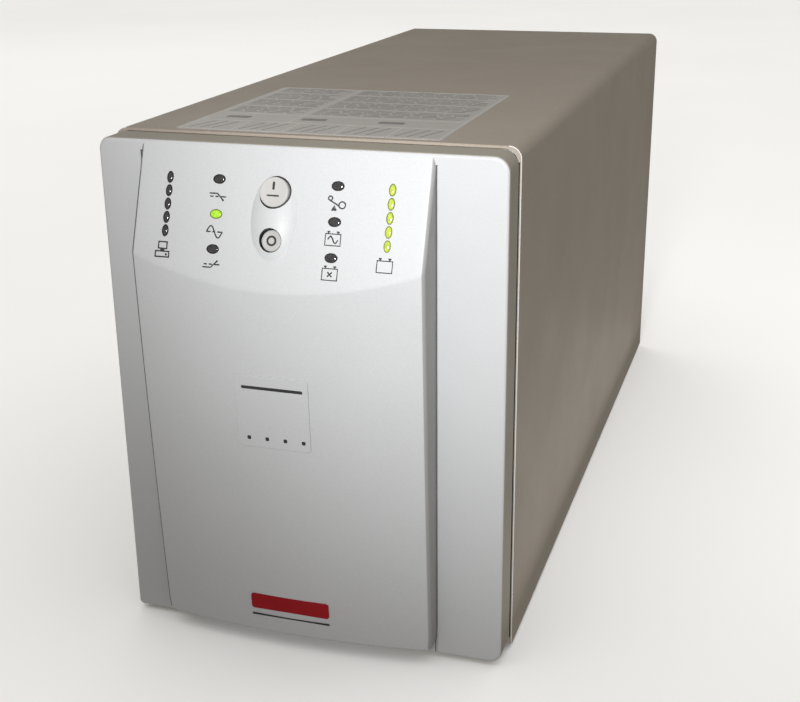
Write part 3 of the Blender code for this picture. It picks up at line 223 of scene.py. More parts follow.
def lens(name, deep, shallow, glow=None, strength=0.0):
    """A clear moulding over a lamp: cloudy inside, with a polished skin."""
    look = Look(name, Coat_Weight=0.8, Coat_Roughness=0.04, IOR=1.49)
    inside = look.cells(900.0)
    colour = look.ramp(inside, (0.1, shallow), (0.9, deep))
    if glow:
        look.feed(look.shader.inputs["Emission Color"], look.ramp(inside, (0.1, glow[0]), (0.9, glow[1])))
        look.shader.inputs["Emission Strength"].default_value = strength
    look.relief(look.noise(700.0), 0.00003, 0.4)
    return look.done(colour, look.spread(look.noise(400.0), 0.08, 0.16))


def laminated(name, dark, light, rough, pitch, axis, metallic, wander):
    """Stacked sheets or wound wire: bands of that pitch along an axis."""
    look = Look(name, metallic=metallic)
    lines = look.bands(math.pi / (10 * pitch), axis, wander)
    look.relief(lines, pitch / 3, 0.8)
    base = look.ramp(lines, (0.15, dark), (0.75, light))
    cloud = look.noise(60.0, 5.0)
    return look.done(look.tint(base, cloud, 0.15), look.spread(cloud, rough - 0.08, rough + 0.1))


def circuit(name):
    """A board under green mask: copper runs show through as paler, raised lines."""
    look = Look(name, Coat_Weight=0.3, Coat_Roughness=0.2)
    black, white = (0, 0, 0, 1), (1, 1, 1, 1)
    place = look.at((1.0, 1.0, 1.0), (math.pi / 2, 0.0, 0.0))
    made = look.node(
        "TexBrick", Vector=place, Scale=190.0, Mortar_Size=0.045, Color1=black, Color2=black, Mortar=white
    )
    runs = made.outputs["Color"]
    base = look.ramp(runs, (0.2, (0.008, 0.075, 0.026)), (0.8, (0.016, 0.115, 0.038)))
    look.relief(runs, 0.00005, 0.6)
    cloud = look.noise(90.0)
    return look.done(look.tint(base, cloud, 0.12), look.spread(cloud, 0.34, 0.5))


# Name: dark tone, light tone, roughness, grain scale, grain depth, patch scale, speckle, specular level
MOULDED = {
    "cover_paint": ((0.366, 0.318, 0.262), (0.386, 0.340, 0.286), 0.55, 1100.0, 0.00010, 9.0, 0.05, 0.28),
    "bezel_plastic": ((0.554, 0.563, 0.575), (0.577, 0.586, 0.600), 0.50, 1700.0, 0.00007, 14.0, 0.035),
    "button_plastic": ((0.480, 0.478, 0.470), (0.510, 0.508, 0.500), 0.42, 2400.0, 0.00003, 60.0, 0.02),
    "black_plastic": ((0.013, 0.013, 0.014), (0.024, 0.024, 0.025), 0.46, 1500.0, 0.00006, 40.0, 0.10),
    "battery_case": ((0.075, 0.077, 0.084), (0.105, 0.107, 0.114), 0.48, 900.0, 0.00010, 18.0, 0.08),
    "rubber": ((0.018, 0.018, 0.018), (0.034, 0.033, 0.031), 0.82, 1300.0, 0.00012, 90.0, 0.15),
    "strap_plastic": ((0.74, 0.74, 0.70), (0.84, 0.84, 0.80), 0.40, 1200.0, 0.00005, 50.0, 0.04),
    "plug_grey": ((0.29, 0.30, 0.32), (0.36, 0.37, 0.39), 0.48, 1500.0, 0.00006, 60.0, 0.06),
    "red_wire": ((0.50, 0.020, 0.015), (0.62, 0.035, 0.025), 0.38, 700.0, 0.00004, 80.0, 0.06),
    "capacitor_sleeve": ((0.022, 0.038, 0.10), (0.034, 0.056, 0.14), 0.30, 500.0, 0.00004, 60.0, 0.06),
    "slot_paint": ((0.020, 0.020, 0.021), (0.034, 0.034, 0.035), 0.5, 1100.0, 0.0001, 30.0, 0.1),
    # The bezel's outer sides: the cover's taupe, a little darker, as painted shade.
    "bezel_band": ((0.349, 0.322, 0.268), (0.370, 0.344, 0.290), 0.58, 1400.0, 0.00007, 14.0, 0.04, 0.25),
    # Black for the batteries' dark joints, and painted shade in the gaps round lamps, round buttons and between
    # cover and bezel.
    "lamp_rim": ((0.006, 0.006, 0.006), (0.012, 0.012, 0.012), 0.5, 3000.0, 0.00002, 90.0, 0.1),
    # Olive collars round lit lamps: their glow painted onto the rim.
    "lit_lamp_rim": ((0.12, 0.16, 0.03), (0.18, 0.23, 0.05), 0.5, 3000.0, 0.00002, 90.0, 0.1),
    # The raised form's side walls in painted shade, and a near-black painted shadow line along its left rounded
    # edge.
    "raised_wall": ((0.32, 0.32, 0.32), (0.35, 0.35, 0.35), 0.55, 1700.0, 0.00007, 14.0, 0.035),
    "left_edge": ((0.15, 0.15, 0.15), (0.18, 0.18, 0.18), 0.60, 1700.0, 0.00005, 14.0, 0.035),
    "icon_ink": ((0.020, 0.020, 0.021), (0.034, 0.034, 0.035), 0.6, 2500.0, 0.00002, 200.0, 0.15),
    "red_ink": ((0.33, 0.005, 0.010), (0.38, 0.009, 0.015), 0.55, 2200.0, 0.00003, 60.0, 0.05, 0.2),
    "label_film": ((0.42, 0.405, 0.38), (0.455, 0.44, 0.415), 0.34, 900.0, 0.00002, 25.0, 0.03),
    "label_print": ((0.15, 0.145, 0.14), (0.21, 0.20, 0.195), 0.45, 1500.0, 0.00001, 120.0, 0.2),
    "label_rule": ((0.60, 0.59, 0.56), (0.68, 0.67, 0.64), 0.35, 1100.0, 0.00002, 30.0, 0.04),
    # Near-white painted highlight on the cover's front edge.
    "cover_edge": ((0.90, 0.91, 0.93), (0.95, 0.96, 0.98), 0.40, 1100.0, 0.00005, 30.0, 0.04),
}
# Name: dark tone, light tone, roughness, how the streaks are stretched, and their scale
METALS = {
    "zinc_steel": ((0.50, 0.51, 0.53), (0.64, 0.65, 0.67), 0.38, (1, 1, 0.08), 420.0),
    "bright_steel": ((0.62, 0.62, 0.61), (0.75, 0.75, 0.74), 0.26, (1, 1, 1), 900.0),
    "aluminium": ((0.66, 0.66, 0.67), (0.78, 0.78, 0.79), 0.34, (1, 0.04, 1), 600.0),
    "brass": ((0.62, 0.46, 0.20), (0.76, 0.60, 0.30), 0.30, (1, 1, 1), 800.0),
}
# Name: deep tone, shallow tone, and for a lit lamp its two glowing tones and their strength
LENSES = {
    "smoked_lens": ((0.022, 0.021, 0.022), (0.055, 0.053, 0.054)),
    "green_lens": ((0.10, 0.15, 0.02), (0.16, 0.22, 0.03), ((0.80, 0.84, 0.12), (0.52, 0.63, 0.04)), 0.85),
    "lit_green_lens": ((0.10, 0.22, 0.01), (0.25, 0.42, 0.03), ((0.42, 0.72, 0.03), (0.20, 0.46, 0.01)), 0.9),
}
# Name: dark tone, light tone, roughness, pitch of the layers, their axis, metallic, and how far they wander
LAMINATED = {
    "copper_winding": ((0.20, 0.055, 0.015), (0.66, 0.26, 0.09), 0.36, 0.0014, "Z", 0.7, 0.4),
    "core_steel": ((0.10, 0.10, 0.105), (0.26, 0.26, 0.27), 0.50, 0.0010, "Y", 0.8, 0.0),
}
LOOKS = {"circuit_board": circuit("circuit_board")}
for make, table in ((moulded, MOULDED), (metal, METALS), (lens, LENSES), (laminated, LAMINATED)):
    LOOKS.update({name: make(name, *row) for name, row in table.items()})
PAINT, PLASTIC, BLACK, STEEL, BRASS, INK, GAP_SHADE_AND_JOINTS = (
    LOOKS[name]
    for name in (
        "cover_paint", "bezel_plastic", "black_plastic", "bright_steel", "brass", "icon_ink", "lamp_rim"
    )
)


# ---- shapes ----


def arc(centre, radius, start, end, steps):
    """Points on an arc between two angles in degrees."""
    angles = [math.radians(start + (end - start) * step / steps) for step in range(steps + 1)]
    return [(centre[0] + radius * math.cos(a), centre[1] + radius * math.sin(a)) for a in angles]


def oval(centre, radius_u, radius_v=None, steps=32):
    radius_v = radius_v or radius_u
    angles = [2 * math.pi * step / steps for step in range(steps)]
    return [(centre[0] + radius_u * math.cos(a), centre[1] + radius_v * math.sin(a)) for a in angles]


def rounded(low, high, radii, steps=8):
    """A rectangle with round corners: radii run from the upper right one, anticlockwise."""
    points = []
    sides = ((1, 1), (0, 1), (0, 0), (1, 0))
    for turn, ((u, v), radius) in enumerate(zip(sides, radii)):
        corner = (
            high[0] - radius if u else low[0] + radius,
            high[1] - radius if v else low[1] + radius,
        )
        points += arc(corner, radius, 90 * turn, 90 * turn + 90, steps)
    return points


def even(low, high, radius, steps=4):
    return rounded(low, high, (radius,) * 4, steps)


def blocks(centre, width, height, radius, steps=2):
    """A small rectangle about its centre, with round corners."""
    u, v = width / 2, height / 2
    return even((centre[0] - u, centre[1] - v), (centre[0] + u, centre[1] + v), radius, steps)


def lifted(outline, height):
    return [(u, v, height) for u, v in outline]


def outlined(low, high):
    """A rectangle as a closed path."""
    return [low, (high[0], low[1]), high, (low[0], high[1]), low]


def linked(name, data):
    """A new object in the scene."""
    obj = bpy.data.objects.new(name, data)
    SCENE.collection.objects.link(obj)
    return obj


class Piece:
    """A visible piece, grown from closed forms that each have their own material."""

    def __init__(self, name):
        self.name = name
        self.bm = bmesh.new()
        self.mats = []

    def stamp(self, part, mat, place=None):
        if mat not in self.mats:
            self.mats.append(mat)
        if place:
            bmesh.ops.transform(part, matrix=place, verts=part.verts)
        bmesh.ops.recalc_face_normals(part, faces=part.faces)
        for face in part.faces:
            face.material_index = self.mats.index(mat)
        mesh = bpy.data.meshes.new("part")
        part.to_mesh(mesh)
        part.free()
        self.bm.from_mesh(mesh)
        bpy.data.meshes.remove(mesh)

    def loft(self, loops, mat, place=None, closed=False):
        """Loops of points, skinned one to the next and capped at both ends unless closed."""
        part = bmesh.new()
        rows = [[part.verts.new(point) for point in loop] for loop in loops]
        pairs = list(zip(rows, rows[1:]))
        if closed:
            pairs.append((rows[-1], rows[0]))
        for first, second in pairs:
            count = len(first)
            for i in range(count):
                j = (i + 1) % count
                part.faces.new((first[i], first[j], second[j], second[i]))
        if not closed:
            part.faces.new(rows[0])
            part.faces.new(rows[-1])
        self.stamp(part, mat, place)

    def turn(self, profile, mat, place=None, steps=32, ratio=1.0):
        """A profile of (radius, height), turned round Z, and drawn out along Y by the ratio."""
        loops = [[(u, v * ratio, h) for u, v in oval((0, 0), max(r, 1e-5), steps=steps)] for r, h in profile]
        self.loft(loops, mat, place)

    def box(self, low, high, mat, edge=0.0, place=None):
        size = [b - a for a, b in zip(low, high)]
        middle = [(a + b) / 2 for a, b in zip(low, high)]
        part = bmesh.new()
        matrix = Matrix.Translation(middle) @ Matrix.Diagonal((*size, 1.0))
        bmesh.ops.create_cube(part, size=1.0, matrix=matrix)
        if edge:
            bmesh.ops.bevel(part, geom=part.edges[:], offset=edge, segments=2, profile=0.5, affect="EDGES")
        self.stamp(part, mat, place)

    def plate(self, loops, h_low, h_high, mat, edge=0.0, place=None):
        """Outlines and their holes as an even sheet, with rounded rims."""
        curve = poly_curve("2D", [[*loop, loop[0]] for loop in loops])
        curve.fill_mode = "BOTH"
        curve.extrude = (h_high - h_low) / 2 - edge
        if edge:
            curve.bevel_depth = edge
            curve.bevel_resolution = 1
            curve.offset = -edge
        part = from_curve(curve)
        bmesh.ops.translate(part, vec=(0, 0, (h_low + h_high) / 2), verts=part.verts)
        self.stamp(part, mat, place)

    def lines(self, paths, radius, mat, place=None, flat=1.0):
        """Round or flattened strokes along open or closed paths."""
        curve = poly_curve("3D", paths)
        curve.bevel_depth = radius
        curve.bevel_resolution = 1
        curve.use_fill_caps = True
        part = from_curve(curve)
        bmesh.ops.transform(part, matrix=Matrix.Diagonal((1, 1, flat, 1)), verts=part.verts)
        self.stamp(part, mat, place)

    def add(self, obj, mat):
        """Another object's evaluated mesh, and the object is removed."""
        part = bmesh.new()
        part.from_mesh(evaluated(obj))
        bpy.data.objects.remove(obj, do_unlink=True)
        self.stamp(part, mat)

    def made(self, angle=32.0):
        mesh = bpy.data.meshes.new(self.name)
        self.bm.to_mesh(mesh)
        self.bm.free()
        for mat in self.mats:
            mesh.materials.append(mat)
        mesh.shade_smooth()
        mesh.set_sharp_from_angle(angle=math.radians(angle))
        return linked(self.name, mesh)

    def ride(self, body, slot, *nodes, angle=32.0):
        """Finishes the piece: it rides on a body, and may stand for CAD nodes."""
        obj = self.made(angle)
        normals = obj.modifiers.new("normals", "WEIGHTED_NORMAL")
        normals.keep_sharp = True
        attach(obj, body)
        if nodes:
            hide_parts(*nodes)


def evaluated(obj):
    bpy.context.view_layer.update()
    return bpy.data.meshes.new_from_object(obj.evaluated_get(bpy.context.evaluated_depsgraph_get()))


def poly_curve(kind, paths):
    """A curve with a straight-sided spline for each path, closed if the path ends where it starts."""
    curve = bpy.data.curves.new("curve", "CURVE")
    curve.dimensions = kind
    for path in paths:
        cyclic = len(path) > 3 and path[0] == path[-1]
        points = path[:-1] if cyclic else path
        spline = curve.splines.new("POLY")
        spline.points.add(len(points) - 1)
        for point, (u, v, *h) in zip(spline.points, points):
            point.co = (u, v, h[0] if h else 0.0, 1.0)
        spline.use_cyclic_u = cyclic
    return curve


def from_curve(curve):
    """The curve's solid as a bmesh, welded."""
    obj = linked("curve", curve)
    part = bmesh.new()
    part.from_mesh(evaluated(obj))
    bpy.data.objects.remove(obj, do_unlink=True)
    bmesh.ops.remove_doubles(part, verts=part.verts, dist=1e-6)
    return part


def combined(base, operation, *others):
    """Changes the base object by an exact Boolean with each of the others, which are removed."""
    for other in others:
        modifier = base.modifiers.new("boolean", "BOOLEAN")
        modifier.operation = operation
        modifier.solver = "EXACT"
        modifier.object = other
        mesh = evaluated(base)
        base.modifiers.clear()
        base.data = mesh
        bpy.data.objects.remove(other, do_unlink=True)


def cut(base, *form):
    combined(base, "DIFFERENCE", shape(*form))


def shape(method, *args, **options):
    """One form of Piece as an object of its own, for a Boolean."""
    piece = Piece("form")
    getattr(piece, method)(*args, **options)
    return piece.made()


def move(x, y, z):
    return Matrix.Translation((x, y, z))


# ---- bezel ----


def crease(x):
    """Where the display facet meets the belly: (y, z) at this place across the bezel."""
    y = FRONT_Y + (x - RAISED_X) ** 2 / (2 * BELLY_RADIUS)
    return y, FACET_TOP_Z - (STRIP_Y - y) / FACET_SLOPE


def belly_y(x, z):
    y, crease_z = crease(x)
    drop = crease_z - z
    return y + BELLY_LEAN * drop + drop**2 / (2 * BELLY_LONG_RADIUS)


def on_belly(x, z):
    """A place on the belly, with its Z facing out of it."""
    lean = BELLY_LEAN + (crease(x)[1] - z) / BELLY_LONG_RADIUS
    return move(x, belly_y(x, z), z) @ Matrix.Rotation(math.pi / 2 + lean, 4, "X")


def rim_drop(inside, radius):
    """How far a rounded rim falls back at this distance inside its edge."""
    gap = max(0.0, radius - inside)
    return radius - math.sqrt(max(0.0, radius**2 - gap**2))


def raised_form(inset, back_y, top_z, rim, corner, columns, belly_rows):
    """The raised middle: a belly curved both ways under a flat, tilted facet, with a rounded rim."""
    half = RAISED_HALF - inset
    bottom_z = RAISED_BOTTOM_Z + inset
    edge = [rim * share for share in (0.0, 0.06, 0.2, 0.4, 0.65)] if rim else []
    across = edge + [rim + 2 * (half - rim) * step / columns for step in range(columns + 1)]
    across += [2 * half - step for step in edge[::-1]]
    shares = [step / belly_rows for step in range(belly_rows)] + [0.993, 1.0]
    part = bmesh.new()
    grid = []
    heights = [("low", step) for step in edge] + [("belly", share) for share in shares]
    heights += [("facet", share) for share in (0.03, 0.3, 0.65, 1.0)]
    for kind, share in heights:
        row = []
        for u in across:
            from_side = min(u, 2 * half - u)
            x = RAISED_X - half + u
            crease_y, crease_z = crease(x)
            if kind == "facet":
                z = crease_z + (top_z - crease_z) * share
                y = STRIP_Y - FACET_SLOPE * (FACET_TOP_Z - z)
                inside = from_side
            else:
                from_low = share if kind == "low" else rim + (crease_z - bottom_z - rim) * share
                inside = min(from_side, from_low)
                if from_side < corner and from_low < corner:
                    a, b = corner - from_side, corner - from_low
                    pull = max(a, b) / math.hypot(a, b)
                    side = corner - a * pull
                    x = RAISED_X - half + side if u < half else RAISED_X + half - side
                    from_low = corner - b * pull
                z = bottom_z + from_low
                y = belly_y(x, z)
            row.append(part.verts.new((x, y + rim_drop(inside, rim) + inset, z)))
        grid.append(row)
    for low, high in zip(grid, grid[1:]):
        for i in range(len(low) - 1):
            part.faces.new((low[i], low[i + 1], high[i + 1], high[i]))
    back = bmesh.ops.extrude_face_region(part, geom=part.faces[:])["geom"]
    for vert in back:
        if isinstance(vert, bmesh.types.BMVert):
            vert.co.y = back_y
    return shape("stamp", part, PLASTIC)


def tray_loop(inset, y):
    radii = [max(0.0002, radius - inset) for radius in TRAY_CORNERS]
    low = (-BEZEL_HALF + inset, BEZEL_BOTTOM_Z + inset)
    high = (BEZEL_HALF - inset, BEZEL_TOP_Z - inset)
    return [(x, y, z) for x, z in rounded(low, high, radii)]


def pillow_height(u, v):
    """How far the pillow stands off the facet at this distance from its middle."""
    curve = (PILLOW_HALF_X**2 + PILLOW_RISE**2) / (2 * PILLOW_RISE)
    across = math.hypot(u, v * PILLOW_HALF_X / PILLOW_HALF_S)
    return math.sqrt(curve**2 - across**2) - curve + PILLOW_RISE


def make_bezel():
    edge = 0.0015
    loops = [
        tray_loop(edge * (1 - math.sin(a)), STRIP_Y + edge * (1 - math.cos(a)))
        for a in (math.radians(18 * step) for step in range(6))
    ]
    loops.append(tray_loop(0.0, BEZEL_BACK_Y - 0.0008))
    loops.append(tray_loop(0.0004, BEZEL_BACK_Y - 0.0007))
    loops.append(tray_loop(0.0004, BEZEL_BACK_Y))
    bezel = shape("loft", loops, PLASTIC)
    for side in (-1, 1):
        edge_x = RAISED_X + side * RAISED_HALF
        low = (edge_x - GROOVE, STRIP_Y - 0.002, -0.002)
        high = (edge_x + GROOVE, STRIP_Y + GROOVE_DEPTH, FACET_TOP_Z - 0.0030)
        cut(bezel, "box", low, high, PLASTIC)
    raised = raised_form(
        0.0, STRIP_Y + 0.008, FACET_TOP_Z, rim=0.0018, corner=0.0032, columns=46, belly_rows=26
    )
    across = [PILLOW_HALF_X * max(0.04, step / 14) for step in range(15)]
    dome = [(u, pillow_height(u, 0.0)) for u in across] + [(PILLOW_HALF_X, -0.001)]
    place = FACET @ move(PILLOW_X, -PILLOW_S, 0)
    pillow = shape("turn", dome, PLASTIC, place, 72, PILLOW_HALF_S / PILLOW_HALF_X)
    outline = blocks((0, 0), BADGE, BADGE, 0.0015, 5)
    badge = shape("plate", [outline], -0.0012, 0.0004, PLASTIC, 0.0002, on_belly(BADGE_X, BADGE_Z))
    combined(bezel, "UNION", raised, badge, pillow)
    low = (-BEZEL_HALF + SKIN, STRIP_Y + SKIN, BEZEL_BOTTOM_Z + SKIN)
    high = (BEZEL_HALF - SKIN, BEZEL_BACK_Y + 0.002, BEZEL_TOP_Z - SKIN)
    cavity = shape("box", low, high, PLASTIC)
    hollow = raised_form(
        SKIN, BEZEL_BACK_Y + 0.001, BEZEL_TOP_Z - 1.6 * SKIN, rim=0.0, corner=0.0001, columns=10, belly_rows=4
    )
    combined(cavity, "UNION", hollow)
    half_u, half_v = PILLOW_HALF_X + 0.0035, PILLOW_HALF_S + 0.0035
    low = (PILLOW_X - half_u, -PILLOW_S - half_v, -PAD_DEPTH)
    high = (PILLOW_X + half_u, -PILLOW_S + half_v, 0.002)
    cut(cavity, "box", low, high, PLASTIC, 0.0, FACET)
    cutter = Piece("holes")
    for x, spots, (radius_x, radius_s), _ in LAMPS.values():
        for s in spots:
            outline = oval((x, -s), radius_x, radius_s, 28)
            cutter.loft([lifted(outline, h) for h in (-2 * PAD_DEPTH, 0.002)], PLASTIC, FACET)
    for s, radius, *_, gap_ring in BUTTONS.values():
        outline = oval((PILLOW_X, -s), radius + gap_ring, steps=48)
        cutter.loft([lifted(outline, h) for h in (-2 * PAD_DEPTH, 0.006)], PLASTIC, FACET)
    combined(bezel, "DIFFERENCE", cavity, cutter.made())
    for side in (-1, 1):
        for z in HOOK_ZS:
            low = (side * HOOK_X - 0.005, STRIP_Y + SKIN / 2, z - 0.0015)
            high = (side * HOOK_X + 0.005, -0.1780, z + 0.0015)
            combined(bezel, "UNION", shape("box", low, high, PLASTIC))
    piece = Piece("bezel_moulding")
    piece.add(bezel, PLASTIC)
    bmesh.ops.remove_doubles(piece.bm, verts=piece.bm.verts, dist=2e-6)
    bmesh.ops.dissolve_degenerate(piece.bm, edges=piece.bm.edges, dist=2e-6)
    shade_bezel(piece)
    piece.ride("bezel", "bezel_plastic", "front_bezel", angle=28.0)


def shade_bezel(piece):
    """Painted shade: the tray's outer sides, the raised form's walls and its left edge get darker looks of
    their own.
    """
    piece.mats += [LOOKS["bezel_band"], LOOKS["raised_wall"], LOOKS["left_edge"]]
    band, wall, left_edge = 1, 2, 3
    for face in piece.bm.faces:
        middle = face.calc_center_median()
        # Painted shade: outward faces near the tray's rim get the darker taupe band.
        near_rim = max(abs(middle.x) - BEZEL_HALF, abs(middle.z - MID_Z) - BEZEL_TOP_Z + MID_Z) > -0.0021
        faces_out = face.normal.x * middle.x + face.normal.z * (middle.z - MID_Z) > 0
        if near_rim and faces_out and abs(face.normal.y) < 0.6 and middle.y > STRIP_Y:
            face.material_index = band
        # Painted shade on the raised form's side walls, and a painted shadow line on the left rounding.
        beside = abs(abs(middle.x - RAISED_X) - RAISED_HALF) < 0.0012
        if beside and abs(face.normal.x) > 0.45 and middle.y < STRIP_Y + GROOVE_DEPTH:
            face.material_index = left_edge if -0.97 < face.normal.x < 0 else wall


def lens_profile(radius, crown, depth):
    """A stud with a crowned top, as (radius, height) from top to bottom."""
    steps = 8
    angles = [math.pi / 2 * step / steps for step in range(steps + 1)]
    profile = [(radius * max(0.05, math.sin(a)), crown * math.cos(a)) for a in angles]
    return profile + [(radius, -depth)]


def make_lamps():
    """Light pipes with crowned studs, each in a black collar of painted gap shade, with olive painted glow
    round lit lenses.
    """
    rim = 0.00042
    foot = -0.0024
    for name, (x, spots, (radius_x, radius_s), thickness) in LAMPS.items():
        slot = "green_lens" if name == "light_pipe_battery" else "smoked_lens"
        back_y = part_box(name)[1].y
        piece = Piece(name.replace("light_pipe", "lenses"))
        tops = [FACET @ Vector((0, -s, -0.0030)) for s in (spots[0] - 0.003, spots[-1] + 0.003)]
        outline = [(tops[0].y, tops[0].z), (back_y, tops[0].z), (back_y, tops[1].z), (tops[1].y, tops[1].z)]
        sides = (x - thickness / 2, x + thickness / 2)
        piece.loft([[(u, y, z) for y, z in outline] for u in sides], LOOKS[slot])
        collar = []
        for inset, h in (
            (0.00002, foot), (0.00002, 0.00004), (0.00010, 0.00012), (rim - 5e-5, 0.00010), (rim - 5e-5, foot)
        ):
            collar.append(lifted(oval((0, 0), radius_x - inset, radius_s - inset, 28), h))
        profile = lens_profile(radius_x - rim, 0.00040, 0.0038)
        for number, s in enumerate(spots):
            place = FACET @ move(x, -s, 0)
            lit = name == "light_pipe_status_left" and number == 1
            # Painted glow round lit lenses; painted gap shade round the rest.
            trim = LOOKS["lit_lamp_rim"] if lit or slot == "green_lens" else GAP_SHADE_AND_JOINTS
            glass = LOOKS["lit_green_lens" if lit else slot]
            piece.turn(profile, glass, place, 28, (radius_s - rim) / (radius_x - rim))
            piece.loft(collar, trim, place, closed=True)
        piece.ride("bezel", slot, name)


def make_buttons():
    """Dished caps on stems, each in a black ring that follows the pillow, painting the shade of the gap round
    the cap.
    """
    for name, (s, radius, reach, cap, gap_ring_width) in BUTTONS.items():
        flange_top = -PAD_DEPTH - 0.0003
        flange_low = flange_top - 0.0015
        rim = 0.0006
        profile = [(radius * share, cap - 0.00022 * (1 - share**2)) for share in (0.05, 0.4, 0.7)]
        profile += arc((radius - rim, cap - rim), rim, 90, 0, 5)
        profile += [(radius, flange_top), (radius + 0.0014, flange_top), (radius + 0.0014, flange_low)]
        profile += [(0.002, flange_low), (0.002, -reach)]
        place = FACET @ move(PILLOW_X, -s, 0)
        piece = Piece(name + "_cap")
        piece.turn(profile, LOOKS["button_plastic"], place, 64)
        foot = -0.0024
        # A black ring round the cap paints the shade of the gap.
        gap_ring = []
        for gap, lift in (
            (0.00022, foot), (0.00022, -0.0003), (gap_ring_width / 2, 0.0), (gap_ring_width - 0.00001, 0.00002)
        ):
            ring = oval((0, 0), radius + gap, steps=48)
            gap_ring.append([(u, v, pillow_height(u, PILLOW_S - s + v) + lift) for u, v in ring])
        gap_ring.append([(u, v, h + foot) for u, v, h in gap_ring[-1]])
        trim = Piece(name + "_seal")
        trim.loft(gap_ring, GAP_SHADE_AND_JOINTS, place, closed=True)
        trim.ride("bezel", "black_plastic")
        top = place @ move(0, 0, cap - 0.00016)
        if name == "on_button":
            for v, width, height in ((0.0024, 0.0009, 0.0031), (-0.0014, 0.0050, 0.0006)):
                bar = blocks((-0.0002, v), width, height, 0.0002)
                piece.plate([bar], -0.0001, 0.00012, INK, 0, top)
        else:
            rings = [oval((0, 0), 0.00205, steps=40), oval((0, 0), 0.00125, steps=40)]
            piece.plate(rings, -0.0001, 0.00010, INK, 0, top)
        piece.ride(name, "button_plastic", name)


def battery_sign(x, s, width=0.0061, height=0.0044):
    u, v = width / 2, height / 2
    strokes = [outlined((x - u, -s - v), (x + u, -s + v))]
    foot, top = -s + v, -s + v + 0.0008
    for tick in (x - u * 0.62, x + u * 0.62):
        strokes.append([(tick, foot), (tick, top)])
        strokes.append([(tick - 0.0006, top), (tick + 0.0006, top)])
    return strokes


def wave_sign(x, s, width, height):
    shares = [step / 20 for step in range(21)]
    return [(x + width * (i - 0.5), -s + height / 2 * math.sin(2 * math.pi * i)) for i in shares]


def ring_sign(x, s, radius):
    loop = oval((x, -s), radius, steps=20)
    return loop + [loop[0]]


def make_icons():
    """Pictograms beside the lamps: plain shapes, with no lettering."""
    paths = []

    def draw(x, s, *strokes):
        for stroke in strokes:
            paths.append([((x + u) * MM, -(s + v) * MM) for u, v in stroke])

    draw(
        -50.9, 41.8,
        outlined((-1.8, -3.2), (1.8, -0.6)),
        [(-0.9, -0.1), (0.9, -0.1)],
        outlined((-2.9, 0.5), (2.9, 2.7)),
        [(1.3, 1.7), (2.1, 1.7)],
    )
    for s, way in ((19.3, 1), (46.2, -1)):
        draw(
            -29.5, s,
            [(-3.6, -0.9 * way), (-0.2, -0.9 * way), (2.2, 1.5 * way)],
            [(-3.2, 0.3 * way), (-1.8, 0.3 * way)],
            [(-1.0, 0.3 * way), (0.3, 0.3 * way)],
            [(1.3, 0.3 * way), (3.5, 0.3 * way)],
        )
    paths.append(wave_sign(-0.0295, 0.0333, 0.0066, 0.0046))
    draw(-29.5, 33.3, [(-3.4, 0.0), (-1.6, 0.0)], [(-0.8, 0.0), (0.4, 0.0)], [(1.2, 0.0), (3.4, 0.0)])
    draw(
        19.3, 19.4,
        [(-2.4, -1.0), (1.2, 0.9)],
        [(-1.6, 2.4), (-0.7, 0.9), (0.2, 2.4), (-1.6, 2.4)],
    )
    paths.append(ring_sign(0.0168, 0.0175, 0.0008))
    paths.append(ring_sign(0.0217, 0.0199, 0.0013))
    paths.extend(battery_sign(0.0193, 0.0331))
    paths.append(wave_sign(0.0193, 0.0331, 0.0040, 0.0026))
    paths.extend(battery_sign(0.0193, 0.0462))
    draw(19.3, 46.2, [(-0.9, -0.9), (0.9, 0.9)], [(-0.9, 0.9), (0.9, -0.9)])
    paths.extend(battery_sign(0.0406, 0.0418))
    piece = Piece("panel_icons")
    piece.lines(paths, 0.00028, INK, FACET, 0.22)
    piece.lines(paths[:4], 0.00040, INK, FACET, 0.16)
    foot = [(0.0185, -0.0206), (0.0174, -0.0222), (0.0196, -0.0222)]
    piece.loft([lifted(foot, h) for h in (-0.0001, 0.00006)], INK, FACET)
    for s, way in ((0.0193, 1), (0.0462, -1)):
        dot = move(-0.0295 + 0.0023, -s - 0.0016 * way, 0)
        piece.turn([(0.00042, 0.00005), (0.00042, -0.0001)], INK, FACET @ dot, 16)
    piece.ride("bezel", "bezel_plastic")


def make_front_marks():
    """Plain marks in the places of the printed ones: bars on the badge, and a red bar near the bottom."""
    place = on_belly(BADGE_X, BADGE_Z)
    marks = Piece("badge_marks")
    marks.plate([blocks((0.0002, 0.0104), 0.0260, 0.0013, 0.0004)], 0.0003, 0.00044, INK, 0, place)
    for number in range(4):
        spot = blocks((-0.0108 + 0.0078 * number, -0.0115), 0.0016, 0.0016, 0.0004)
        marks.plate([spot], 0.0003, 0.00044, INK, 0, place)
    marks.ride("bezel", "bezel_plastic")
    place = on_belly(-0.0043, 0.0222)
    band = Piece("front_band")
    band.plate([blocks((0, 0), 0.0350, 0.0072, 0.0012, 4)], -0.0006, 0.00006, LOOKS["red_ink"], 0, place)
    band.plate([blocks((0, -0.0066), 0.0350, 0.0007, 0.0003)], -0.0006, 0.00005, INK, 0, place)
    band.ride("bezel", "bezel_plastic")


# ---- steel cover ----


def cover_loop(y, inset=0.0, wall=COVER_SHEET, inner_radius=None):
    """The cover's section at this y: outside, then inside, as one closed loop."""
    half, top, low = COVER_HIGH.x, COVER_HIGH.z, COVER_LOW.z

    def skin(offset, corner=None):
        radius = corner or COVER_RADIUS - offset
        side, upper = half - offset - radius, top - offset - radius
        left = arc((-side, upper), radius, 180, 90, 12)
        right = arc((side, upper), radius, 90, 0, 12)
        return [(-half + offset, low + inset)] + left + right + [(half - offset, low + inset)]

    return [(x, y, z) for x, z in skin(inset) + skin(wall - inset, inner_radius)[::-1]]


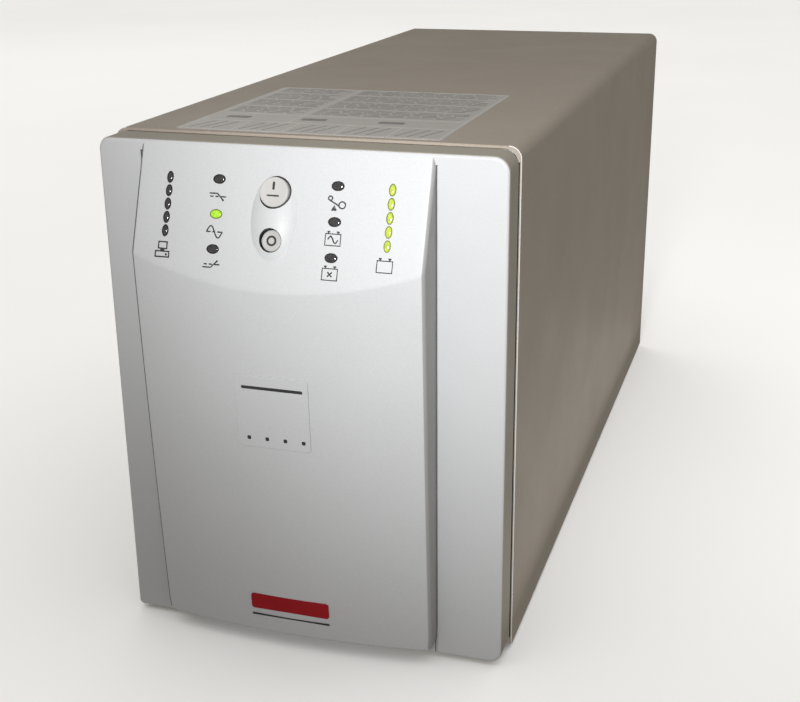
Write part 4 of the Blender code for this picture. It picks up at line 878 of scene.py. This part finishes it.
def make_cover():
    front, rear, edge = COVER_LOW.y, COVER_HIGH.y, 0.00025
    sections = [(front, edge), (front + edge / 3, edge / 3), (front + edge, 0.0)]
    sections += [(rear - edge, 0.0), (rear - edge / 3, edge / 3), (rear, edge)]
    cover = shape("loft", [cover_loop(y, inset) for y, inset in sections], PAINT)
    slots = Piece("slots")
    for column in range(3):
        for row in range(9):
            slot = blocks((-0.105 + 0.032 * column, 0.062 + 0.010 * row), 0.024, 0.0035, 0.0017, 6)
            slots.loft([[(x, y, z) for y, z in slot] for x in (-0.088, -0.082)], PAINT)
    combined(cover, "DIFFERENCE", slots.made())
    for side in (-1, 1):
        xs = sorted((side * 0.0845, side * 0.0725))
        combined(cover, "UNION", shape("box", (xs[0], 0.2120, 0.068), (xs[1], 0.2130, 0.084), PAINT))
        place = move(side * 0.077, 0.2125, 0.076) @ OUTWARDS
        cut(cover, "turn", [(0.0021, -0.002), (0.0021, 0.002)], PAINT, place, 24)
    piece = Piece("cover_shell")
    piece.add(cover, PAINT)
    bmesh.ops.remove_doubles(piece.bm, verts=piece.bm.verts, dist=2e-6)
    piece.ride("case", "cover_paint", "outer_cover")


def make_hem():
    """The cover's front edge, which stands a little proud of the sheet, with a painted highlight on its sides
    and corners.
    """
    piece = Piece("cover_front_edge")
    front = COVER_LOW.y
    lip = ((front + 0.0003, 0.0), (front - 0.00025, 0.00002), (front - 0.00045, 0.00018))
    piece.loft([cover_loop(y, inset, 0.00125, 0.0056) for y, inset in lip], PAINT)
    piece.mats.append(LOOKS["cover_edge"])
    # Painted highlight: near-white on the edge's side and corner faces.
    for face in piece.bm.faces:
        if abs(face.calc_center_median().x) > COVER_HIGH.x - 0.0052:
            face.material_index = 1
    # A black strip inside each side paints the shade in the gap between cover and bezel.
    for side in (-1, 1):
        xs = sorted((side * (COVER_HIGH.x - 0.0011), side * (COVER_HIGH.x - 0.0006)))
        piece.box((xs[0], BEZEL_BACK_Y, 0.006), (xs[1], front, COVER_HIGH.z - 0.006), GAP_SHADE_AND_JOINTS)
    piece.ride("case", "cover_paint")


def make_top_label():
    """A film label on the cover with ruled boxes and plain bars where a printed one has words."""
    z = COVER_HIGH.z
    top = z + 0.00012
    film, ink = LOOKS["label_film"], LOOKS["label_print"]
    piece = Piece("top_label")
    piece.plate([even((-0.0600, -0.1805), (0.0530, -0.0640), 0.002)], z - 0.0001, top, film, 0.00005)
    ruled = [
        outlined((-58.5, -179), (51.5, -65.5)),
        [(-58.5, -158), (51.5, -158)],
        [(-58.5, -140), (51.5, -140)],
        [(-20, -158), (-20, -65.5)],
    ]
    ruled += [[(x, -179), (x, -158)] for x in (-36, -14, 8, 30)]
    paths = [[(x * MM, y * MM, 0.0) for x, y in path] for path in ruled]
    piece.lines(paths, 0.00022, LOOKS["label_rule"], move(0, 0, top), 0.2)
    draw = random.Random(7)
    bars = []
    for row in range(22):
        y = -0.1355 + 0.0032 * row
        for start, end in ((-0.056, -0.0225), (-0.0175, 0.049)):
            x = start
            while x < end - 0.004:
                width = min(draw.uniform(0.003, 0.012), end - x)
                if row % 6 != 5:
                    bars.append(blocks((x + width / 2, y), width, draw.uniform(0.0009, 0.0014), 0.0002, 1))
                x += width + 0.0012
    strokes = []
    for row in range(3):
        for column in range(5):
            x = -0.0555 + 0.022 * column + 0.0052 * row
            strokes.append([(x, -0.1765, 0.0), (x + 0.0050, -0.1610, 0.0)])
    for column in range(3):
        bars.append(blocks((-0.0455 + 0.034 * column, -0.149), 0.011, 0.0050, 0.0012, 3))
    piece.lines(strokes, 0.00035, ink, move(0, 0, top), 0.2)
    for bar in bars:
        piece.loft([lifted(bar, h) for h in (top - 0.00004, top + 0.00003)], ink)
    piece.ride("case", "cover_paint")


# ---- screws and rear panel ----


def fastener(piece, node, seat, mat, knurled=False):
    """A screw in the CAD one's place, its head resting at this y, with its driver recess cut in."""
    low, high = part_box(node)
    radius = (high.x - low.x) / 2
    outer, inner = (high.y, low.y) if seat > 0 else (low.y, high.y)
    head, length = abs(outer - seat), abs(seat - inner)
    place = move((low.x + high.x) / 2, seat, (low.z + high.z) / 2) @ (OUTWARDS if seat > 0 else UPRIGHT)
    shank = [(radius * 0.45, 0.0), (radius * 0.45, -length), (radius * 0.05, -length)]
    reach, half = radius * 0.60, radius * 0.13
    if knurled:
        cuts = [(reach, half)]
        levels = [(0.84, head, 0), (0.96, head - 0.0003, 1), (0.96, 0.0009, 1), (0.84, 0.0006, 0)]
        levels += [(0.84, 0.0, 0)] + [(r / radius, h, 0) for r, h in shank]
        loops = []
        for share, h, ridged in levels:
            ring = []
            for i, (u, v) in enumerate(oval((0, 0), radius * share, steps=72)):
                swell = 1 + 0.04 * ridged * (i % 2)
                ring.append((u * swell, v * swell, h))
            loops.append(ring)
        screw = shape("loft", loops, mat, place)
    else:
        cuts = [(reach, half), (half, reach)]
        dome = [(radius * 0.05, head), (radius * 0.55, head), (radius * 0.82, head * 0.86)]
        dome += [(radius * 0.96, head * 0.55), (radius, head * 0.2), (radius * 0.97, 0.0)]
        screw = shape("turn", dome + shank, mat, place, 40)
    for u, v in cuts:
        cut(screw, "box", (-u, -v, head * 0.6), (u, v, head + 0.001), mat, 0.0, place)
    piece.add(screw, mat)


def make_fasteners():
    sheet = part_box("slot_cover")[1].y
    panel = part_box("rear_panel")[1].y
    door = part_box("battery_door")[0].y
    for name, body, slot, seat, nodes in (
        ("cover_screws", "case", "zinc_steel", sheet, ("cover_screw_1", "cover_screw_2")),
        ("earth_screw", "case", "bright_steel", panel, ("ground_screw",)),
        ("door_screws", "door", "zinc_steel", door, ("battery_door_screw_1", "battery_door_screw_2")),
        ("slot_thumbscrews", "case", "bright_steel", sheet, ("slot_thumbscrew_1", "slot_thumbscrew_2")),
    ):
        piece = Piece(name)
        for node in nodes:
            fastener(piece, node, seat, LOOKS[slot], knurled=name == "slot_thumbscrews")
        piece.ride(body, slot, *nodes)


def d_outline(grow):
    """A D-shaped connector mouth, wider along its top, with v pointing down."""
    radius = 0.0014 + grow
    wide, narrow, tall = 0.0084 + grow - radius, 0.0075 + grow - radius, 0.0040 + grow - radius
    corners = ((narrow, tall), (-narrow, tall), (-wide, -tall), (wide, -tall))
    points = []
    for turn, corner in enumerate(corners):
        points += arc(corner, radius, 90 * turn, 90 * turn + 90, 5)
    return points


def make_serial_port():
    low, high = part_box("serial_port")
    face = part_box("rear_panel")[1].y
    out = high.y - face
    place = move((low.x + high.x) / 2, face, (low.z + high.z) / 2) @ OUTWARDS
    piece = Piece("serial_connector")
    half, tall = (high.x - low.x) / 2, (high.z - low.z) / 2
    piece.plate([even((-half, -tall), (half, tall), 0.002)], 0.0001, 0.0010, STEEL, 0.0002, place)
    tube = [(0.0, 0.0008), (0.0, out), (-0.0004, out), (-0.0004, 0.0012)]
    piece.loft([lifted(d_outline(grow), h) for grow, h in tube], STEEL, place, closed=True)
    piece.plate([d_outline(-0.0004)], 0.0004, 0.0016, BLACK, 0, place)
    piece.box((-0.0092, -0.0048, low.y - face), (0.0092, 0.0048, 0.0002), BLACK, 0.0004, place)
    pin = [(0.0002, out - 0.0012), (0.0005, out - 0.0016), (0.0005, 0.0010)]
    for count, v in ((5, -0.0014), (4, 0.0014)):
        for number in range(count):
            u = (number - (count - 1) / 2) * 0.00274
            piece.turn(pin, BRASS, place @ move(u, v, 0), 12)
    for x in (-0.0125, 0.0125):
        outer, bore = [oval((x, 0), radius, steps=6) for radius in (0.0026, 0.0013)]
        nut = [lifted(outer, 0.0009), lifted(outer, out), lifted(bore, out), lifted(bore, 0.0009)]
        piece.loft(nut, STEEL, place, closed=True)
    piece.ride("case", "bright_steel", "serial_port")


# ---- battery bay and display board ----


def make_batteries():
    """Each sealed battery: a case, a lid with a seam under it, a vent strip, tabs and a plain label."""
    case, film, ink = LOOKS["battery_case"], LOOKS["label_film"], LOOKS["label_print"]
    for name in ("battery_front", "battery_rear"):
        low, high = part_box(name)
        top = high.z - 0.0050
        piece = Piece(name + "_block")
        plan = even((low.x, low.y), (high.x, high.y), 0.0030)
        seam = even((low.x + 0.0007, low.y + 0.0007), (high.x - 0.0007, high.y - 0.0007), 0.0025)
        piece.plate([plan], low.z, top - 0.0150, case, 0.0006)
        piece.plate([seam], top - 0.0152, top - 0.0140, GAP_SHADE_AND_JOINTS)
        piece.plate([plan], top - 0.0142, top, case, 0.0009)
        vent_y = (low.y + high.y) / 2 + 0.008
        strip = even((-0.066, vent_y - 0.010), (0.066, vent_y + 0.010), 0.002)
        piece.plate([strip], top - 0.0005, top + 0.0003, case, 0.0001)
        for number in range(6):
            place = move(-0.055 + 0.022 * number, vent_y, top)
            piece.turn([(0.0060, 0.00035), (0.0060, 0.0), (0.0066, -0.0002)], GAP_SHADE_AND_JOINTS, place, 32)
            piece.turn([(0.0055, 0.00045), (0.0056, 0.0)], case, place, 32)
        y = low.y + BATTERY_TAB_INSET
        for x, colour in ((-BATTERY_TAB_X, LOOKS["red_ink"]), (BATTERY_TAB_X, BLACK)):
            piece.plate([blocks((x, y), 0.0130, 0.0160, 0.0015)], top - 0.0003, top + 0.0009, colour, 0.0002)
            piece.box((x - 0.0032, y - 0.0004, top), (x + 0.0032, y + 0.0004, high.z), BRASS, 0.00015)
        place = move(0.0470, low.y, low.z + 0.046) @ UPRIGHT
        piece.plate([blocks((0, 0), 0.0440, 0.0500, 0.002)], -0.0002, 0.00012, film, 0, place)
        for row, width in enumerate((0.036, 0.028, 0.034, 0.022, 0.036, 0.031, 0.018)):
            height = 0.0016 if row else 0.0046
            bar = blocks(((width - 0.038) / 2, 0.0195 - 0.0062 * row), width, height, 0.0004)
            piece.plate([bar], 0.0001, 0.00016, ink, 0, place)
        piece.ride("battery_pack", "battery_case", name)


def make_battery_fittings():
    """Sleeves on the ends of the battery lead, and the pack's plug with its two open sockets."""
    low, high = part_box("battery_link")
    sleeves = Piece("link_sleeves")
    for node in ("battery_front", "battery_rear"):
        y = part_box(node)[0].y + BATTERY_TAB_INSET
        start = (-BATTERY_TAB_X - 0.0041, y - 0.0030, low.z - 0.0045)
        end = (-BATTERY_TAB_X + 0.0041, y + 0.0030, low.z + 0.0030)
        sleeves.box(start, end, LOOKS["red_wire"], 0.0010)
    sleeves.ride("battery_pack", "red_wire")
    low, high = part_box("battery_plug")
    grey = LOOKS["plug_grey"]
    body = shape("plate", [even((low.x, low.y), (high.x, high.y), 0.0025)], low.z, high.z, grey, 0.0008)
    middle = (low.z + high.z) / 2
    xs = [(low.x + high.x) / 2 + shift for shift in (-0.0058, 0.0058)]
    for x, edge in zip(xs, (low.x, high.x)):
        start, end = (x - 0.0042, low.y - 0.001, middle - 0.0036), (x + 0.0042, low.y + 0.014, middle + 0.0036)
        cut(body, "box", start, end, grey)
        for rib in range(5):
            y = low.y + 0.018 + 0.0032 * rib
            start, end = (edge - 0.0007, y, low.z + 0.002), (edge + 0.0007, y + 0.0014, high.z + 0.001)
            cut(body, "box", start, end, grey)
    piece = Piece("pack_plug")
    piece.add(body, grey)
    for x in xs:
        start, end = (x - 0.0026, low.y + 0.003, middle - 0.0010), (x + 0.0026, low.y + 0.0145, middle + 0.0006)
        piece.box(start, end, STEEL, 0.0002)
    piece.ride("battery_pack", "plug_grey", "battery_plug")


def make_board_parts():
    """Drivers, resistors and a header on the display board's front face."""
    low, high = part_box("display_board")
    place = move(0, BOARD_FACE_Y, 0) @ UPRIGHT
    piece = Piece("board_parts")

    def chip(x, z, half_x, half_z, foot, top, mat, edge=0.0):
        piece.box((x - half_x, z - half_z, foot), (x + half_x, z + half_z, top), mat, edge, place)

    for x, z in ((-0.0400, 0.1940), (-0.0400, 0.1740), (0.0300, 0.1880)):
        chip(x, z, 0.0020, 0.0050, 0.0002, 0.0017, BLACK, 0.0002)
        for leg_x in (x - 0.0024, x + 0.0024):
            for leg in range(8):
                chip(leg_x, z - 0.00444 + 0.00127 * leg, 0.0006, 0.0002, -0.0001, 0.0006, STEEL)
    draw = random.Random(11)
    for x_low, x_high in ((-0.0235, -0.0140), (0.0035, 0.0135)):
        for row in range(9):
            x = draw.choice((x_low, x_high)) + draw.uniform(0.0, 0.001)
            z = high.z - 0.004 - 0.0046 * row
            chip(x, z, 0.0016, 0.0008, -0.0001, 0.0005, STEEL, 0.0001)
            chip(x, z, 0.0010, 0.00078, 0.0, 0.0006, BLACK, 0.0001)
    x, z = 0.0480, low.z + 0.013
    chip(x, z, 0.0025, 0.0090, -0.0001, 0.0026, LOOKS["strap_plastic"], 0.0004)
    for pin in range(6):
        chip(x, z - 0.0063 + 0.00254 * pin, 0.0003, 0.0003, 0.0, 0.0029, STEEL)
    piece.ride("case", "circuit_board")


# ---- stage ----


def make_stage():
    """A pale floor, with a sun of its own that lights nothing else."""
    mesh = bpy.data.meshes.new("floor")
    reach = 12.0
    corners = [(x * reach, y * reach, 0) for x, y in ((-1, -1), (1, -1), (1, 1), (-1, 1))]
    mesh.from_pydata(corners, [], [(0, 1, 2, 3)])
    floor = linked("floor", mesh)
    look = Look("pale_floor", Emission_Color=(1.0, 1.0, 1.0, 1.0), Emission_Strength=0.04)
    tone = look.ramp(look.noise(3.0, 2.0), (0.3, (0.86, 0.86, 0.85)), (0.7, (0.88, 0.88, 0.87)))
    mesh.materials.append(look.done(tone, 0.9))
    floor.visible_diffuse = False
    floor.visible_glossy = False
    floor.visible_shadow = False
    lit = bpy.data.collections.new("lit_by_floor_wash")
    lit.objects.link(floor)
    sun = bpy.data.lights.new("floor_wash", "SUN")
    sun.energy = 1.75
    sun.angle = math.radians(100)
    linked("floor_wash", sun).light_linking.receiver_collection = lit


def aimed(name, light, location, target):
    """A light that the camera can't see, pointed at the target."""
    obj = linked(name, light)
    obj.location = location
    obj.rotation_euler = (Vector(target) - Vector(location)).to_track_quat("-Z", "Y").to_euler()
    obj.visible_camera = False


def make_lights():
    world = bpy.data.worlds.new("soft_surround")
    world.use_nodes = True
    tree = world.node_tree
    shade = tree.nodes["Background"]
    shade.inputs["Color"].default_value = (1.0, 0.965, 0.915, 1.0)
    way = tree.nodes.new("ShaderNodeTexCoord")
    split = tree.nodes.new("ShaderNodeSeparateXYZ")
    height = tree.nodes.new("ShaderNodeMapRange")
    for socket, number in zip(("From Min", "From Max", "To Min", "To Max"), (-1.0, 1.0, *SKY)):
        height.inputs[socket].default_value = number
    tree.links.new(way.outputs["Generated"], split.inputs["Vector"])
    tree.links.new(split.outputs["Z"], height.inputs["Value"])
    tree.links.new(height.outputs["Result"], shade.inputs["Strength"])
    SCENE.world = world
    spot = bpy.data.lights.new("near_lamp", "SPOT")
    spot.energy = 19.8
    spot.shadow_soft_size = 0.06
    spot.spot_size = math.radians(49)
    spot.spot_blend = 1.0
    aimed("near_lamp", spot, (0.12, -0.78, 0.40), (0.105, -0.2, 0.262))
    for name, place, target, size, power in (
        ("rear_soft_light", (-1.3, 1.6, 1.3), (0, 0, 0.1), (1.2, 1.2), 2.5),
        ("left_bounce", (-0.155, 0.01, 0.012), (-0.155, 0.01, 1.0), (0.12, 0.42), 0.071),
        ("right_bounce", (0.155, 0.01, 0.012), (0.155, 0.01, 1.0), (0.12, 0.42), 0.071),
    ):
        area = bpy.data.lights.new(name, "AREA")
        area.shape = "RECTANGLE"
        area.size, area.size_y = size
        area.energy = power
        area.color = (1.0, 0.97, 0.93)
        aimed(name, area, place, target)
    SCENE.view_settings.view_transform = "Standard"


def make_camera():
    """The camera fitted to the photograph: its bearing, how far it looks down, and its roll."""
    data = bpy.data.cameras.new("camera")
    data.sensor_width = 36.0
    data.lens = 57.68
    data.clip_start = 0.01
    camera = linked("camera", data)
    bearing, dip, roll = (math.radians(angle) for angle in (17.896, 19.774, -0.634))
    turn = Matrix.Rotation(bearing, 4, "Z") @ Matrix.Rotation(math.pi / 2 - dip, 4, "X")
    camera.matrix_world = move(0.186378, -0.648549, 0.305931) @ turn @ Matrix.Rotation(roll, 4, "Z")
    SCENE.camera = camera


def finish_frame():
    """Each CAD node that still shows gets its slot's look."""
    slots = {row["node"]: row["material_slot"] for row in frame["record"]["subparts"]}
    for name, node in frame["nodes"].items():
        for place in node.material_slots:
            place.material = LOOKS[slots[name]]


make_camera()
make_stage()
make_lights()
finish_frame()
make_bezel()
make_lamps()
make_buttons()
make_icons()
make_front_marks()
make_cover()
make_hem()
make_top_label()
make_fasteners()
make_serial_port()
make_batteries()
make_battery_fittings()
make_board_parts()
